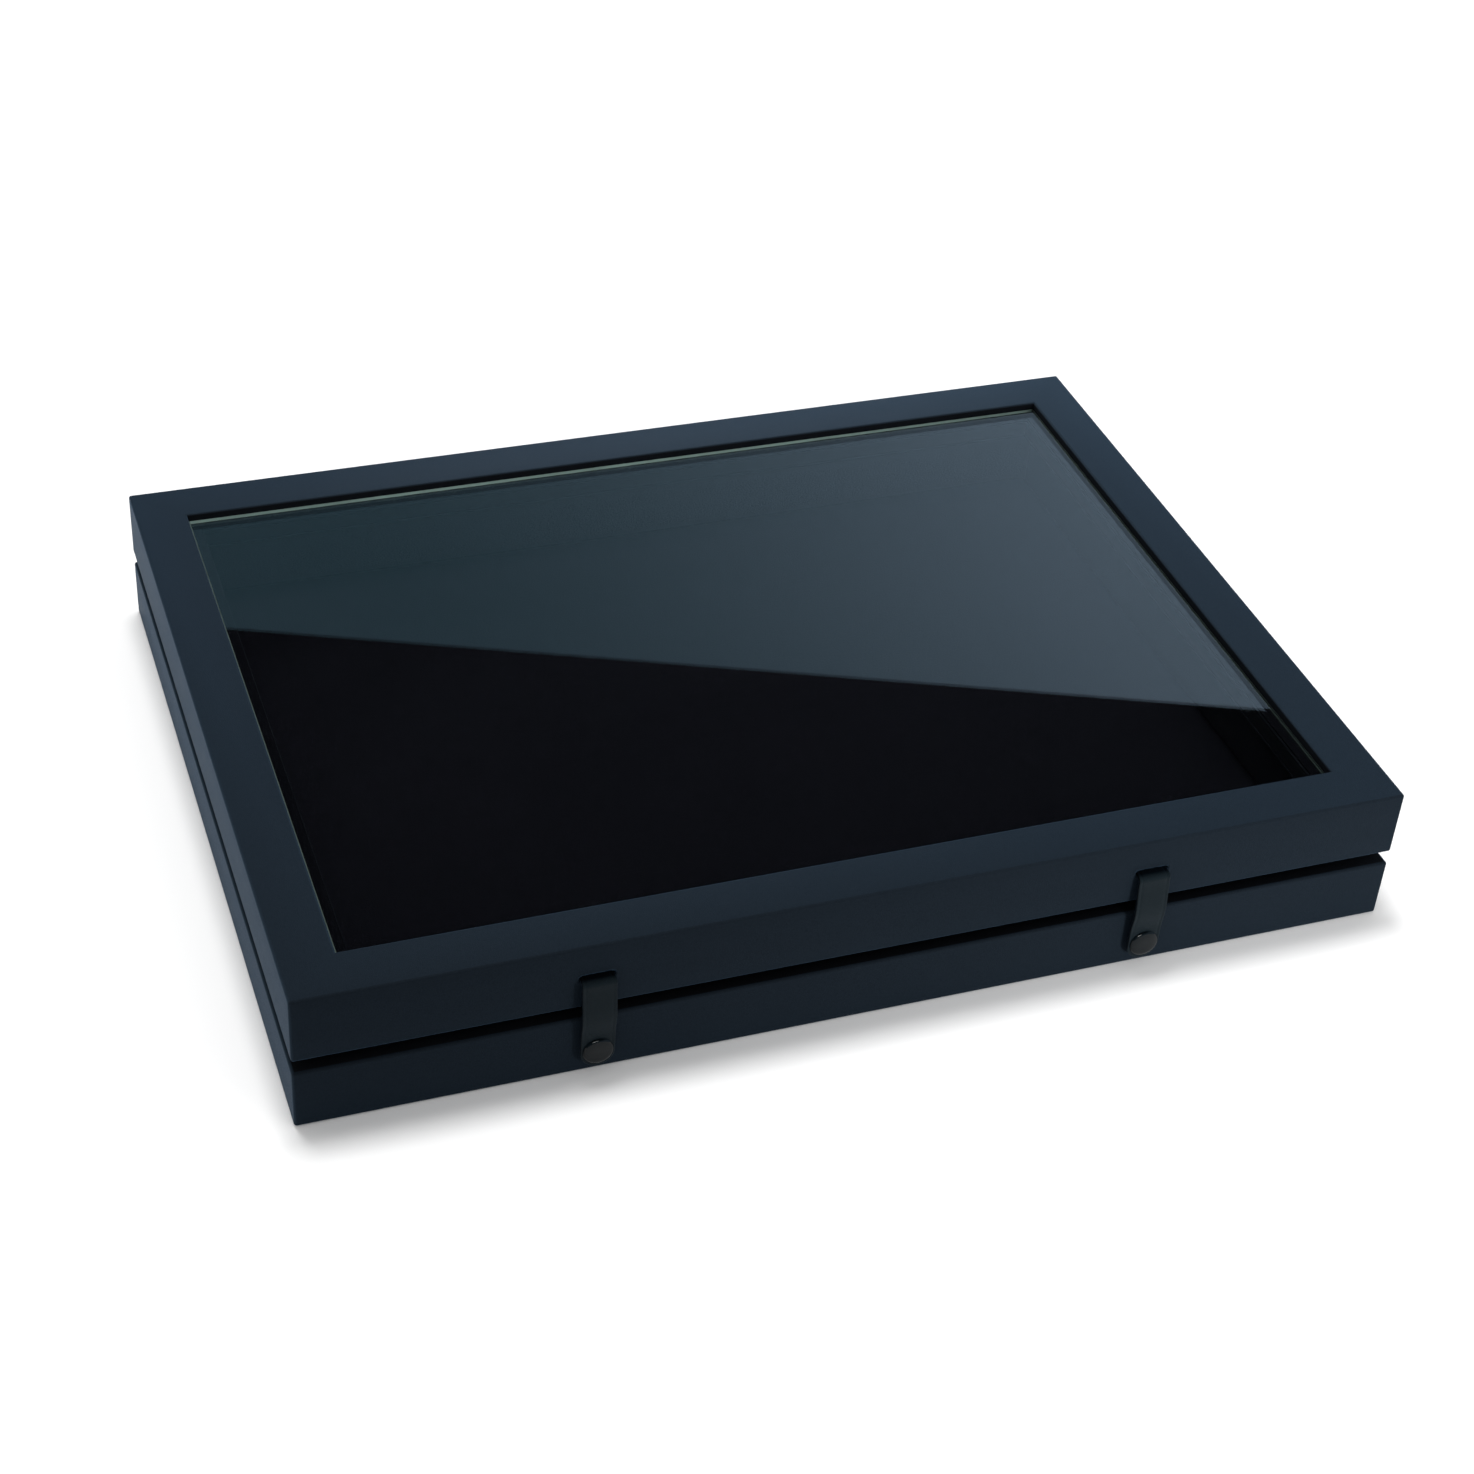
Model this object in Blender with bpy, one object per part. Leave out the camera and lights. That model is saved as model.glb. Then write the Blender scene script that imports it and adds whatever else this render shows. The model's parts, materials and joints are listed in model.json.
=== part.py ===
"""A flat display case with a glazed lid: two covered trays, a raised neck between them,
two stop hinges at the back and two strap fasteners with press studs at the front.

The case stands on the plane Z = 0 with the middle of its underside at the origin.
X runs along its width, Y towards the hinges and Z up. All lengths are in metres.
"""

import math

import bmesh
import bpy
from mathutils import Matrix, Vector

# Outside of the case
CASE_WIDTH = 0.400
CASE_DEPTH = 0.300
BASE_HEIGHT = 0.0237
LID_GAP = 0.0052
LID_HEIGHT = 0.0261
EDGE_RADIUS = 0.0010

# Clearances
SEAT_GAP = 0.0003
SNAP_GAP = 0.0003
SWING_CLEARANCE = 0.0008
HOLE_CLEARANCE = 0.00025
CUT_OVERRUN = 0.0010
MERGE_DISTANCE = 0.00001

# Covering of base and lid
COVER_THICKNESS = 0.0008
UNDERSIDE_TURN_IN = 0.0100

# Base
BASE_BOARD = 0.0120
BOTTOM_PANEL = 0.0030
NECK_THICKNESS = 0.0040
NECK_RISE = 0.0163
NECK_ROUNDING = 0.0008
PAD_THICKNESS = 0.0120
PAD_CLEARANCE = 0.0005
PAD_ROUNDING = 0.0015

# Lid frame and pane
FRAME_WIDTH = 0.0195
LEDGE_WIDTH = 0.0050
PANE_DEPTH = 0.0026
PANE_THICKNESS = 0.0030
PANE_CLEARANCE = 0.0003
PANE_ARRIS = 0.0003
TAPE_THICKNESS = 0.0005
TAPE_WIDTH = 0.0040

# Strap fasteners
STRAP_SPACING = 0.2008
STRAP_OFFSET = 0.0017
STRAP_WIDTH = 0.0120
STRAP_THICKNESS = 0.0012
STRAP_EXIT = 0.0123
STRAP_BEND_OUT = 0.0015
STRAP_BEND_RADIUS = 0.0014
STRAP_ROOT_OUT = 0.0004
STRAP_BOW = 0.0040
STRAP_TIP = 0.0070
SLIT_DEPTH = 0.0090
SLIT_SIDE = 0.0003
SLIT_UNDER = 0.0003
SLIT_OVER = 0.0007

# Press studs
STUD_HEIGHT = 0.0115
STUD_FLANGE_RADIUS = 0.0040
STUD_FLANGE = 0.0005
STUD_NECK_RADIUS = 0.0014
STUD_NECK = 0.0003
STUD_HEAD_RADIUS = 0.0018
STUD_HEAD = 0.0004
STUD_SHANK_RADIUS = 0.0010
STUD_SHANK = 0.0080
SOCKET_RADIUS = 0.0045
SOCKET_BORE = 0.0022
SOCKET_DEPTH = 0.0007
SOCKET_WEB = 0.0003
CAP_RADIUS = 0.00525
CAP_THICKNESS = 0.0012
CAP_DISH = 0.0003
CAP_RIM = 0.0009
CAP_POST_RADIUS = 0.0012

# Hinges
HINGE_SPACING = 0.220
HINGE_WIDTH = 0.030
LEAF_THICKNESS = 0.0010
LEAF_REACH = 0.0110
LIP_HEIGHT = 0.0054
KNUCKLE_RADIUS = 0.0023
KNUCKLE_GAP = 0.0003
PIN_RADIUS = 0.0011
STOP_ANGLE = 105.0
SCREW_SPACING = 0.018
SCREW_INSET = 0.0065
SCREW_HEAD_RADIUS = 0.0017
SCREW_RADIUS = 0.0009
SCREW_LENGTH = 0.0080
SCREW_TIP = 0.0015

# Facets
ROUND_SIDES = 24
SMALL_SIDES = 16
ARC_STEPS = 3
STRAP_BEND_STEPS = 5
STRAP_STEPS = 16
STRAP_TIP_STEPS = 6
STRAP_TIP_SWEEP = math.radians(80.0)
STRAP_CROWN_ANGLES = (math.radians(75.0), math.radians(50.0), math.radians(25.0))
SMOOTH_ANGLE = math.radians(40.0)

# Places that follow from the sizes
LID_BOTTOM = BASE_HEIGHT + LID_GAP
LID_TOP = LID_BOTTOM + LID_HEIGHT
WRAP = COVER_THICKNESS + SEAT_GAP
NECK_OUTER = WRAP + BASE_BOARD + SEAT_GAP
NECK_INNER = NECK_OUTER + NECK_THICKNESS
NECK_TOP = BASE_HEIGHT + NECK_RISE
PANEL_TOP = WRAP + BOTTOM_PANEL
RECESS_WALL = NECK_OUTER - SWING_CLEARANCE
RECESS_CEILING = NECK_TOP + SEAT_GAP
TONGUE_END = FRAME_WIDTH + LEDGE_WIDTH
PANE_TOP = LID_TOP - PANE_DEPTH
PANE_BOTTOM = PANE_TOP - PANE_THICKNESS
TAPE_TOP = PANE_BOTTOM - SEAT_GAP
TAPE_BOTTOM = TAPE_TOP - TAPE_THICKNESS
LEDGE_TOP = TAPE_BOTTOM - SEAT_GAP
AXIS_HEIGHT = BASE_HEIGHT + LID_GAP / 2
LEAF_FACE = LID_GAP / 2 - SEAT_GAP
EXIT_HEIGHT = LID_BOTTOM + STRAP_EXIT
HANG_TOP = EXIT_HEIGHT - STRAP_BEND_RADIUS
HANG_OUT = STRAP_BEND_OUT + STRAP_BEND_RADIUS
CAP_EDGE = STUD_HEIGHT + CAP_RADIUS
STUD_STACK = SNAP_GAP + STUD_FLANGE + STUD_NECK + STUD_HEAD
SOCKET_BACK = STUD_STACK + SNAP_GAP
STRAP_BACK = SOCKET_BACK + SOCKET_WEB + SNAP_GAP
STRAP_STAND = STRAP_BACK + STRAP_THICKNESS / 2
CAP_BACK = STRAP_BACK + STRAP_THICKNESS + SNAP_GAP

SIDES = {
    "front": (0.0, CASE_WIDTH / 2, CASE_DEPTH / 2),
    "right": (math.pi / 2, CASE_DEPTH / 2, CASE_WIDTH / 2),
    "back": (math.pi, CASE_WIDTH / 2, CASE_DEPTH / 2),
    "left": (-math.pi / 2, CASE_DEPTH / 2, CASE_WIDTH / 2),
}

# Finishes: colour, roughness, metallic
LEATHERETTE = ((0.016, 0.022, 0.028), 0.55, 0.0)
LEATHER_STRAP = ((0.014, 0.019, 0.023), 0.6, 0.0)
FIBREBOARD = ((0.165, 0.105, 0.062), 0.85, 0.0)
BLACK_BOARD = ((0.010, 0.011, 0.012), 0.8, 0.0)
VELVET = ((0.006, 0.006, 0.008), 0.95, 0.0)
LINING_PAPER = ((0.012, 0.013, 0.014), 0.9, 0.0)
CLEAR_GLASS = ((0.72, 0.80, 0.78), 0.03, 0.0)
SEAL_TAPE = ((0.008, 0.008, 0.009), 0.7, 0.0)
BLACK_NICKEL = ((0.055, 0.062, 0.068), 0.25, 1.0)
BRIGHT_NICKEL = ((0.58, 0.56, 0.52), 0.28, 1.0)


def clear_scene():
    """Take away whatever the scene holds."""
    for old in list(bpy.data.objects):
        bpy.data.objects.remove(old)


def finish(piece, look):
    """Give the piece a material of its own."""
    colour, roughness, metallic = look
    material = bpy.data.materials.new(piece.name + "_finish")
    material.use_nodes = True
    shader = material.node_tree.nodes["Principled BSDF"]
    shader.inputs["Base Color"].default_value = (*colour, 1.0)
    shader.inputs["Roughness"].default_value = roughness
    shader.inputs["Metallic"].default_value = metallic
    piece.data.materials.append(material)


def empty(name, location, parent=None):
    """A named point that pieces hang on, such as a joint's axis."""
    point = bpy.data.objects.new(name, None)
    bpy.context.scene.collection.objects.link(point)
    if parent is not None:
        point.parent = parent
        location = Vector(location) - origin_of(parent)
    point.location = location
    return point


def origin_of(point):
    """World place of an unturned chain of empties."""
    place = Vector(point.location)
    return place if point.parent is None else place + origin_of(point.parent)


def add_piece(name, shape, look, parent, location=(0, 0, 0), turn=0.0, smooth=False):
    """Make the finished mesh an object, placed in the world and hung on its parent."""
    bmesh.ops.recalc_face_normals(shape, faces=shape.faces)
    mesh = bpy.data.meshes.new(name)
    shape.to_mesh(mesh)
    shape.free()
    if smooth:
        mesh.shade_smooth()
        mesh.set_sharp_from_angle(angle=SMOOTH_ANGLE)
    piece = bpy.data.objects.new(name, mesh)
    bpy.context.scene.collection.objects.link(piece)
    piece.parent = parent
    piece.location = Vector(location) - origin_of(parent)
    piece.rotation_euler.z = turn
    finish(piece, look)
    return piece


def add_tool(name, shape, location=(0, 0, 0)):
    """Make a hidden shape that cuts or joins other pieces."""
    bmesh.ops.recalc_face_normals(shape, faces=shape.faces)
    mesh = bpy.data.meshes.new(name)
    shape.to_mesh(mesh)
    shape.free()
    tool = bpy.data.objects.new(name, mesh)
    bpy.context.scene.collection.objects.link(tool)
    tool.location = location
    tool.hide_render = True
    tool.display_type = "WIRE"
    return tool


def combine(piece, tool, operation):
    """Cut the tool from the piece, or join it to the piece."""
    step = piece.modifiers.new(tool.name, "BOOLEAN")
    step.operation = operation
    step.object = tool
    step.solver = "EXACT"


def bevel(piece, width, segments):
    """Round or chamfer every sharp edge of the piece."""
    step = piece.modifiers.new("edges", "BEVEL")
    step.width = width
    step.segments = segments
    step.limit_method = "ANGLE"


def block(low, high):
    """A box between two corners."""
    shape = bmesh.new()
    bmesh.ops.create_cube(shape, size=1.0)
    size = Vector(high) - Vector(low)
    middle = (Vector(high) + Vector(low)) / 2
    bmesh.ops.transform(
        shape,
        matrix=Matrix.Translation(middle) @ Matrix.Diagonal((*size, 1.0)),
        verts=shape.verts,
    )
    return shape


def extruded(outline, low, high):
    """A prism along X whose section is an outline of (Y, Z) points."""
    shape = bmesh.new()
    start = [shape.verts.new((low, y, z)) for y, z in outline]
    end = [shape.verts.new((high, y, z)) for y, z in outline]
    count = len(outline)
    for i in range(count):
        j = (i + 1) % count
        shape.faces.new((start[i], start[j], end[j], end[i]))
    shape.faces.new(start)
    shape.faces.new(end)
    return shape


def turned(profile, sides, axis="Z"):
    """A turned solid: (radius, height) points spun round the axis."""
    shape = bmesh.new()
    verts = [shape.verts.new((radius, 0.0, height)) for radius, height in profile]
    edges = [shape.edges.new(pair) for pair in zip(verts, verts[1:])]
    bmesh.ops.spin(
        shape,
        geom=verts + edges,
        cent=(0, 0, 0),
        axis=(0, 0, 1),
        angle=2 * math.pi,
        steps=sides,
    )
    bmesh.ops.remove_doubles(shape, verts=shape.verts, dist=MERGE_DISTANCE)
    turns = {
        "Z": Matrix.Identity(4),
        "X": Matrix.Rotation(math.pi / 2, 4, "Y"),
        "-Y": Matrix.Rotation(math.pi / 2, 4, "X"),
    }
    bmesh.ops.transform(shape, matrix=turns[axis], verts=shape.verts)
    return shape


def round_corner(before, corner, after, radius):
    """Points of the arc that rounds one corner of an outline."""
    a = (Vector(before) - Vector(corner)).normalized()
    b = (Vector(after) - Vector(corner)).normalized()
    half = a.angle(b) / 2
    centre = Vector(corner) + (a + b).normalized() * (radius / math.sin(half))
    start = Vector(corner) + a * (radius / math.tan(half)) - centre
    end = Vector(corner) + b * (radius / math.tan(half)) - centre
    sweep = start.angle_signed(end)
    arc = []
    for step in range(ARC_STEPS + 1):
        share = step / ARC_STEPS
        angle = -sweep * share
        turned_start = Matrix.Rotation(angle, 2) @ start
        arc.append(tuple(centre + turned_start))
    return arc


def wrap_outline(path, rounded):
    """Section of a covering: the finished path out, and back one thickness behind it.

    The path is a list of (inset, height) points with the board on its right-hand side.
    The corners numbered in rounded get the case's edge radius.
    """
    behind = []
    last = len(path) - 1
    for i, point in enumerate(path):
        shift = Vector((0.0, 0.0))
        if i > 0:
            shift += right_of(path[i - 1], point)
        if i < last:
            shift += right_of(point, path[i + 1])
        behind.append(tuple(Vector(point) + shift * COVER_THICKNESS))
    outer = []
    inner = []
    for i, point in enumerate(path):
        if i in rounded:
            outer += round_corner(path[i - 1], point, path[i + 1], EDGE_RADIUS)
            inside = EDGE_RADIUS - COVER_THICKNESS
            inner += round_corner(behind[i - 1], behind[i], behind[i + 1], inside)
        else:
            outer.append(point)
            inner.append(behind[i])
    return outer + inner[::-1]


def right_of(start, end):
    """Unit direction to the right of a square run from start to end."""
    run = (Vector(end) - Vector(start)).normalized()
    return Vector((run.y, -run.x))


def ring(outline, radius):
    """Carry a section of (inset, height) points round the case's rectangle.

    The outside corners have the radius given, and insets deeper than it meet square.
    """
    shape = bmesh.new()
    steps = ARC_STEPS if radius > 0 else 0
    loops = []
    for inset, height in outline:
        loop = []
        for corner in range(4):
            sign_x = (1, 1, -1, -1)[corner]
            sign_y = (-1, 1, 1, -1)[corner]
            pull = max(radius, inset)
            centre = Vector((CASE_WIDTH / 2 - pull, CASE_DEPTH / 2 - pull))
            for step in range(steps + 1):
                angle = math.pi / 2 * (corner - 1 + step / max(steps, 1))
                reach = max(radius - inset, 0.0)
                x = sign_x * centre.x + reach * math.cos(angle)
                y = sign_y * centre.y + reach * math.sin(angle)
                loop.append(shape.verts.new((x, y, height)))
        loops.append(loop)
    count = len(loops[0])
    for i, loop in enumerate(loops):
        other = loops[(i + 1) % len(loops)]
        for k in range(count):
            m = (k + 1) % count
            shape.faces.new((loop[k], loop[m], other[m], other[k]))
    bmesh.ops.remove_doubles(shape, verts=shape.verts, dist=MERGE_DISTANCE)
    return shape


def mitred(outline, side):
    """A rail along one side with mitred ends, its section in (inset, height) points."""
    half_length = SIDES[side][1]
    shape = bmesh.new()
    ends = []
    for sign in (-1, 1):
        ends.append(
            [
                shape.verts.new((sign * (half_length - inset - SEAT_GAP / 2), inset, height))
                for inset, height in outline
            ]
        )
    count = len(outline)
    for i in range(count):
        j = (i + 1) % count
        shape.faces.new((ends[0][i], ends[0][j], ends[1][j], ends[1][i]))
    shape.faces.new(ends[0])
    shape.faces.new(ends[1])
    return shape


def add_rail(name, outline, side, look, parent):
    """Place a mitred rail on its side of the case."""
    turn, _, distance = SIDES[side]
    location = Matrix.Rotation(turn, 3, "Z") @ Vector((0.0, -distance, 0.0))
    return add_piece(name, mitred(outline, side), look, parent, location, turn)


def sheet(inset, bottom, top):
    """A flat sheet over the case's rectangle, set in from its edges."""
    half_x = CASE_WIDTH / 2 - inset
    half_y = CASE_DEPTH / 2 - inset
    return block((-half_x, -half_y, bottom), (half_x, half_y, top))


def make_base_boards(base):
    """Four mitred boards and the panel let in between them."""
    inner = WRAP + BASE_BOARD
    outline = [
        (WRAP, WRAP),
        (inner, WRAP),
        (inner, BASE_HEIGHT - WRAP),
        (WRAP, BASE_HEIGHT - WRAP),
    ]
    boards = {}
    for side in SIDES:
        boards[side] = add_rail(f"base_{side}_board", outline, side, FIBREBOARD, base)
    panel = sheet(inner + SEAT_GAP, WRAP, PANEL_TOP)
    add_piece("base_bottom_panel", panel, FIBREBOARD, base)
    return boards


def make_base_cover(base):
    """Leatherette over the boards' top edge, outside and bottom edge."""
    path = [
        (WRAP + BASE_BOARD, BASE_HEIGHT),
        (0.0, BASE_HEIGHT),
        (0.0, 0.0),
        (UNDERSIDE_TURN_IN, 0.0),
    ]
    shape = ring(wrap_outline(path[::-1], (1, 2)), EDGE_RADIUS)
    return add_piece("base_cover", shape, LEATHERETTE, base, smooth=True)


def make_underside(base):
    """Lining sheet that the case stands on, inside the cover's turned-in edge."""
    shape = sheet(UNDERSIDE_TURN_IN + SEAT_GAP, 0.0, COVER_THICKNESS)
    add_piece("underside_lining", shape, LINING_PAPER, base)


def make_neck(base):
    """Four strips inside the boards that rise into the lid and carry it."""
    bottom = PANEL_TOP + SEAT_GAP
    outline = [
        (NECK_OUTER, bottom),
        (NECK_INNER, bottom),
        (NECK_INNER, NECK_TOP - NECK_ROUNDING),
        (NECK_INNER - NECK_ROUNDING, NECK_TOP),
        (NECK_OUTER + NECK_ROUNDING, NECK_TOP),
        (NECK_OUTER, NECK_TOP - NECK_ROUNDING),
    ]
    for side in SIDES:
        add_rail(f"neck_{side}", outline, side, VELVET, base)


def make_pad(base):
    """Velvet display pad that lies on the bottom panel."""
    bottom = PANEL_TOP + SEAT_GAP
    shape = sheet(NECK_INNER + PAD_CLEARANCE, bottom, bottom + PAD_THICKNESS)
    pad = add_piece("display_pad", shape, VELVET, base)
    bevel(pad, PAD_ROUNDING, 2)


def make_lid_rails(lid):
    """Four mitred rails with a rebate for the pane and a recess for the neck."""
    leg = RECESS_WALL - WRAP
    window = FRAME_WIDTH - WRAP
    outline = [
        (WRAP, LID_BOTTOM + WRAP),
        (WRAP, LID_TOP - WRAP),
        (window, LID_TOP - WRAP),
        (window, LEDGE_TOP - WRAP),
        (TONGUE_END, LEDGE_TOP - WRAP),
        (TONGUE_END, RECESS_CEILING + WRAP),
        (leg, RECESS_CEILING + WRAP),
        (leg, LID_BOTTOM + WRAP),
    ]
    rails = {}
    for side in SIDES:
        rails[side] = add_rail(f"lid_{side}_rail", outline, side, BLACK_BOARD, lid)
    return rails


def make_lid_cover(lid):
    """Leatherette wrapped round the rails, open only at the end under the pane."""
    path = [
        (TONGUE_END, LEDGE_TOP),
        (FRAME_WIDTH, LEDGE_TOP),
        (FRAME_WIDTH, LID_TOP),
        (0.0, LID_TOP),
        (0.0, LID_BOTTOM),
        (RECESS_WALL, LID_BOTTOM),
        (RECESS_WALL, RECESS_CEILING),
        (TONGUE_END, RECESS_CEILING),
    ]
    shape = ring(wrap_outline(path[::-1], (2, 3, 4, 5)), EDGE_RADIUS)
    return add_piece("lid_cover", shape, LEATHERETTE, lid, smooth=True)


def make_pane(lid):
    """Glass pane and the tape that beds it on the frame's ledge."""
    pane = sheet(FRAME_WIDTH + PANE_CLEARANCE, PANE_BOTTOM, PANE_TOP)
    glass = add_piece("glass_pane", pane, CLEAR_GLASS, lid)
    bevel(glass, PANE_ARRIS, 1)
    outer = TONGUE_END - (LEDGE_WIDTH - TAPE_WIDTH) / 2 - TAPE_WIDTH
    inner = outer + TAPE_WIDTH
    outline = [
        (outer, TAPE_BOTTOM),
        (inner, TAPE_BOTTOM),
        (inner, TAPE_TOP),
        (outer, TAPE_TOP),
    ]
    add_piece("glass_bedding_tape", ring(outline, 0.0), SEAL_TAPE, lid)


def strap_out(height):
    """How far the strap's middle stands out from the case at a height.

    It eases out from the bend to its bow over the gap, eases back in to the upper
    edge of the cap, each along half a cosine wave, and then hangs straight.
    """
    if height > AXIS_HEIGHT:
        share = (HANG_TOP - height) / (HANG_TOP - AXIS_HEIGHT)
        return HANG_OUT + (STRAP_BOW - HANG_OUT) * (1 - math.cos(math.pi * share)) / 2
    if height > CAP_EDGE:
        share = (AXIS_HEIGHT - height) / (AXIS_HEIGHT - CAP_EDGE)
        return STRAP_STAND + (STRAP_BOW - STRAP_STAND) * (1 + math.cos(math.pi * share)) / 2
    return STRAP_STAND


def strap_bend():
    """Rows of the strap from its round end at the axis through the bend at the slit."""
    half_thick = STRAP_THICKNESS / 2
    half_wide = STRAP_WIDTH / 2
    rows = []
    for angle in STRAP_CROWN_ANGLES:
        middle = Vector((STRAP_BEND_OUT - half_thick * math.sin(angle), EXIT_HEIGHT))
        rows.append((middle, Vector((0.0, 1.0)), half_thick * math.cos(angle), half_wide))
    for step in range(STRAP_BEND_STEPS):
        angle = math.pi / 2 * step / STRAP_BEND_STEPS
        normal = Vector((math.sin(angle), math.cos(angle)))
        centre = Vector((STRAP_BEND_OUT, HANG_TOP))
        rows.append((centre + normal * STRAP_BEND_RADIUS, normal, half_thick, half_wide))
    return rows


def strap_hang():
    """Rows of the strap from the bend down to where its tip starts to round."""
    round_start = STUD_HEIGHT - STRAP_TIP + STRAP_WIDTH / 2
    heights = []
    for step in range(STRAP_STEPS + 1):
        heights.append(HANG_TOP + (round_start - HANG_TOP) * step / STRAP_STEPS)
    rows = []
    for i, height in enumerate(heights):
        above = heights[max(i - 1, 0)]
        below = heights[min(i + 1, STRAP_STEPS)]
        run = Vector((strap_out(below) - strap_out(above), below - above)).normalized()
        middle = Vector((strap_out(height), height))
        normal = Vector((-run.y, run.x))
        rows.append((middle, normal, STRAP_THICKNESS / 2, STRAP_WIDTH / 2))
    return rows


def strap_tip():
    """Rows of the strap's half-round tip."""
    half_wide = STRAP_WIDTH / 2
    round_start = STUD_HEIGHT - STRAP_TIP + half_wide
    rows = []
    for step in range(1, STRAP_TIP_STEPS + 1):
        angle = STRAP_TIP_SWEEP * step / STRAP_TIP_STEPS
        middle = Vector((STRAP_STAND, round_start - half_wide * math.sin(angle)))
        wide = half_wide * math.cos(angle)
        rows.append((middle, Vector((1.0, 0.0)), STRAP_THICKNESS / 2, wide))
    return rows


def strap_shape():
    """The strap's free part: a thin band from the bend at the slit to its tip.

    Each row has its (out, height) middle, its outward normal, half thickness and half
    width.
    """
    shape = bmesh.new()
    rows = []
    for middle, normal, thin, wide in strap_bend() + strap_hang() + strap_tip():
        front = middle + normal * thin
        back = middle - normal * thin
        rows.append(
            [
                shape.verts.new((-wide, -front.x, front.y)),
                shape.verts.new((wide, -front.x, front.y)),
                shape.verts.new((wide, -back.x, back.y)),
                shape.verts.new((-wide, -back.x, back.y)),
            ]
        )
    for row, other in zip(rows, rows[1:]):
        for i in range(4):
            j = (i + 1) % 4
            shape.faces.new((row[i], row[j], other[j], other[i]))
    shape.faces.new(rows[0])
    shape.faces.new(rows[-1])
    return shape


def make_slit(side, place, targets):
    """Slit in the lid's front that the strap's root is glued into."""
    half = STRAP_WIDTH / 2 + SLIT_SIDE
    bottom = EXIT_HEIGHT - STRAP_THICKNESS / 2 - SLIT_UNDER
    top = EXIT_HEIGHT + STRAP_THICKNESS / 2 + SLIT_OVER
    front = -CASE_DEPTH / 2
    low = (place - half, front - CUT_OVERRUN, bottom)
    high = (place + half, front + SLIT_DEPTH, top)
    tool = add_tool(f"slit_{side}_cut", block(low, high))
    for target in targets:
        combine(target, tool, "DIFFERENCE")


def make_strap_root(side, place, lid):
    """The end of the strap that is glued into the lid."""
    half_wide = STRAP_WIDTH / 2
    half_thick = STRAP_THICKNESS / 2
    front = -CASE_DEPTH / 2
    low = (-half_wide, -STRAP_ROOT_OUT, -half_thick)
    high = (half_wide, SLIT_DEPTH - SEAT_GAP, half_thick)
    location = (place, front, EXIT_HEIGHT)
    add_piece(f"strap_{side}_root", block(low, high), LEATHER_STRAP, lid, location)


def make_press_stud(side, place, base, targets):
    """Stud riveted to the base's front board."""
    flange = SNAP_GAP + STUD_FLANGE
    neck = flange + STUD_NECK
    head = neck + STUD_HEAD
    profile = [
        (0.0, -STUD_SHANK),
        (STUD_SHANK_RADIUS, -STUD_SHANK),
        (STUD_SHANK_RADIUS, SNAP_GAP),
        (STUD_FLANGE_RADIUS, SNAP_GAP),
        (STUD_FLANGE_RADIUS, flange),
        (STUD_NECK_RADIUS, flange),
        (STUD_NECK_RADIUS, neck),
        (STUD_HEAD_RADIUS, neck),
        (STUD_HEAD_RADIUS, head),
        (0.0, head),
    ]
    location = (place, -CASE_DEPTH / 2, STUD_HEIGHT)
    shape = turned(profile, SMALL_SIDES, "-Y")
    name = f"press_stud_{side}"
    add_piece(name, shape, BRIGHT_NICKEL, base, location, smooth=True)
    wide = STUD_SHANK_RADIUS + HOLE_CLEARANCE
    deep = -STUD_SHANK - HOLE_CLEARANCE
    hole = [(0.0, deep), (wide, deep), (wide, CUT_OVERRUN), (0.0, CUT_OVERRUN)]
    tool = add_tool(f"stud_{side}_cut", turned(hole, SMALL_SIDES, "-Y"), location)
    for target in targets:
        combine(target, tool, "DIFFERENCE")


def make_snap_cap(side, place, strap):
    """Dished cap on the strap's front, with the post that rivets it to the socket."""
    face = CAP_BACK + CAP_THICKNESS
    post_end = SOCKET_BACK + SNAP_GAP / 2
    profile = [
        (0.0, post_end),
        (CAP_POST_RADIUS, post_end),
        (CAP_POST_RADIUS, CAP_BACK),
        (CAP_RADIUS, CAP_BACK),
        (CAP_RADIUS, face - CAP_RIM / 2),
        (CAP_RADIUS - CAP_RIM / 2, face),
        (CAP_RADIUS - CAP_RIM, face),
        (CAP_RADIUS - 2 * CAP_RIM, face - CAP_DISH),
        (0.0, face - CAP_DISH),
    ]
    location = (place, -CASE_DEPTH / 2, STUD_HEIGHT)
    shape = turned(profile, ROUND_SIDES, "-Y")
    name = f"strap_{side}_cap"
    add_piece(name, shape, BLACK_NICKEL, strap, location, smooth=True)


def make_snap_socket(side, place, strap):
    """Socket behind the strap that snaps over the stud."""
    mouth = SOCKET_BACK - SOCKET_DEPTH
    back = SOCKET_BACK + SOCKET_WEB
    post_hole = CAP_POST_RADIUS + HOLE_CLEARANCE
    profile = [
        (post_hole, SOCKET_BACK),
        (SOCKET_BORE, SOCKET_BACK),
        (SOCKET_BORE, mouth),
        (SOCKET_RADIUS, mouth),
        (SOCKET_RADIUS, back),
        (post_hole, back),
        (post_hole, SOCKET_BACK),
    ]
    location = (place, -CASE_DEPTH / 2, STUD_HEIGHT)
    shape = turned(profile, SMALL_SIDES, "-Y")
    name = f"strap_{side}_socket"
    add_piece(name, shape, BRIGHT_NICKEL, strap, location, smooth=True)


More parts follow.
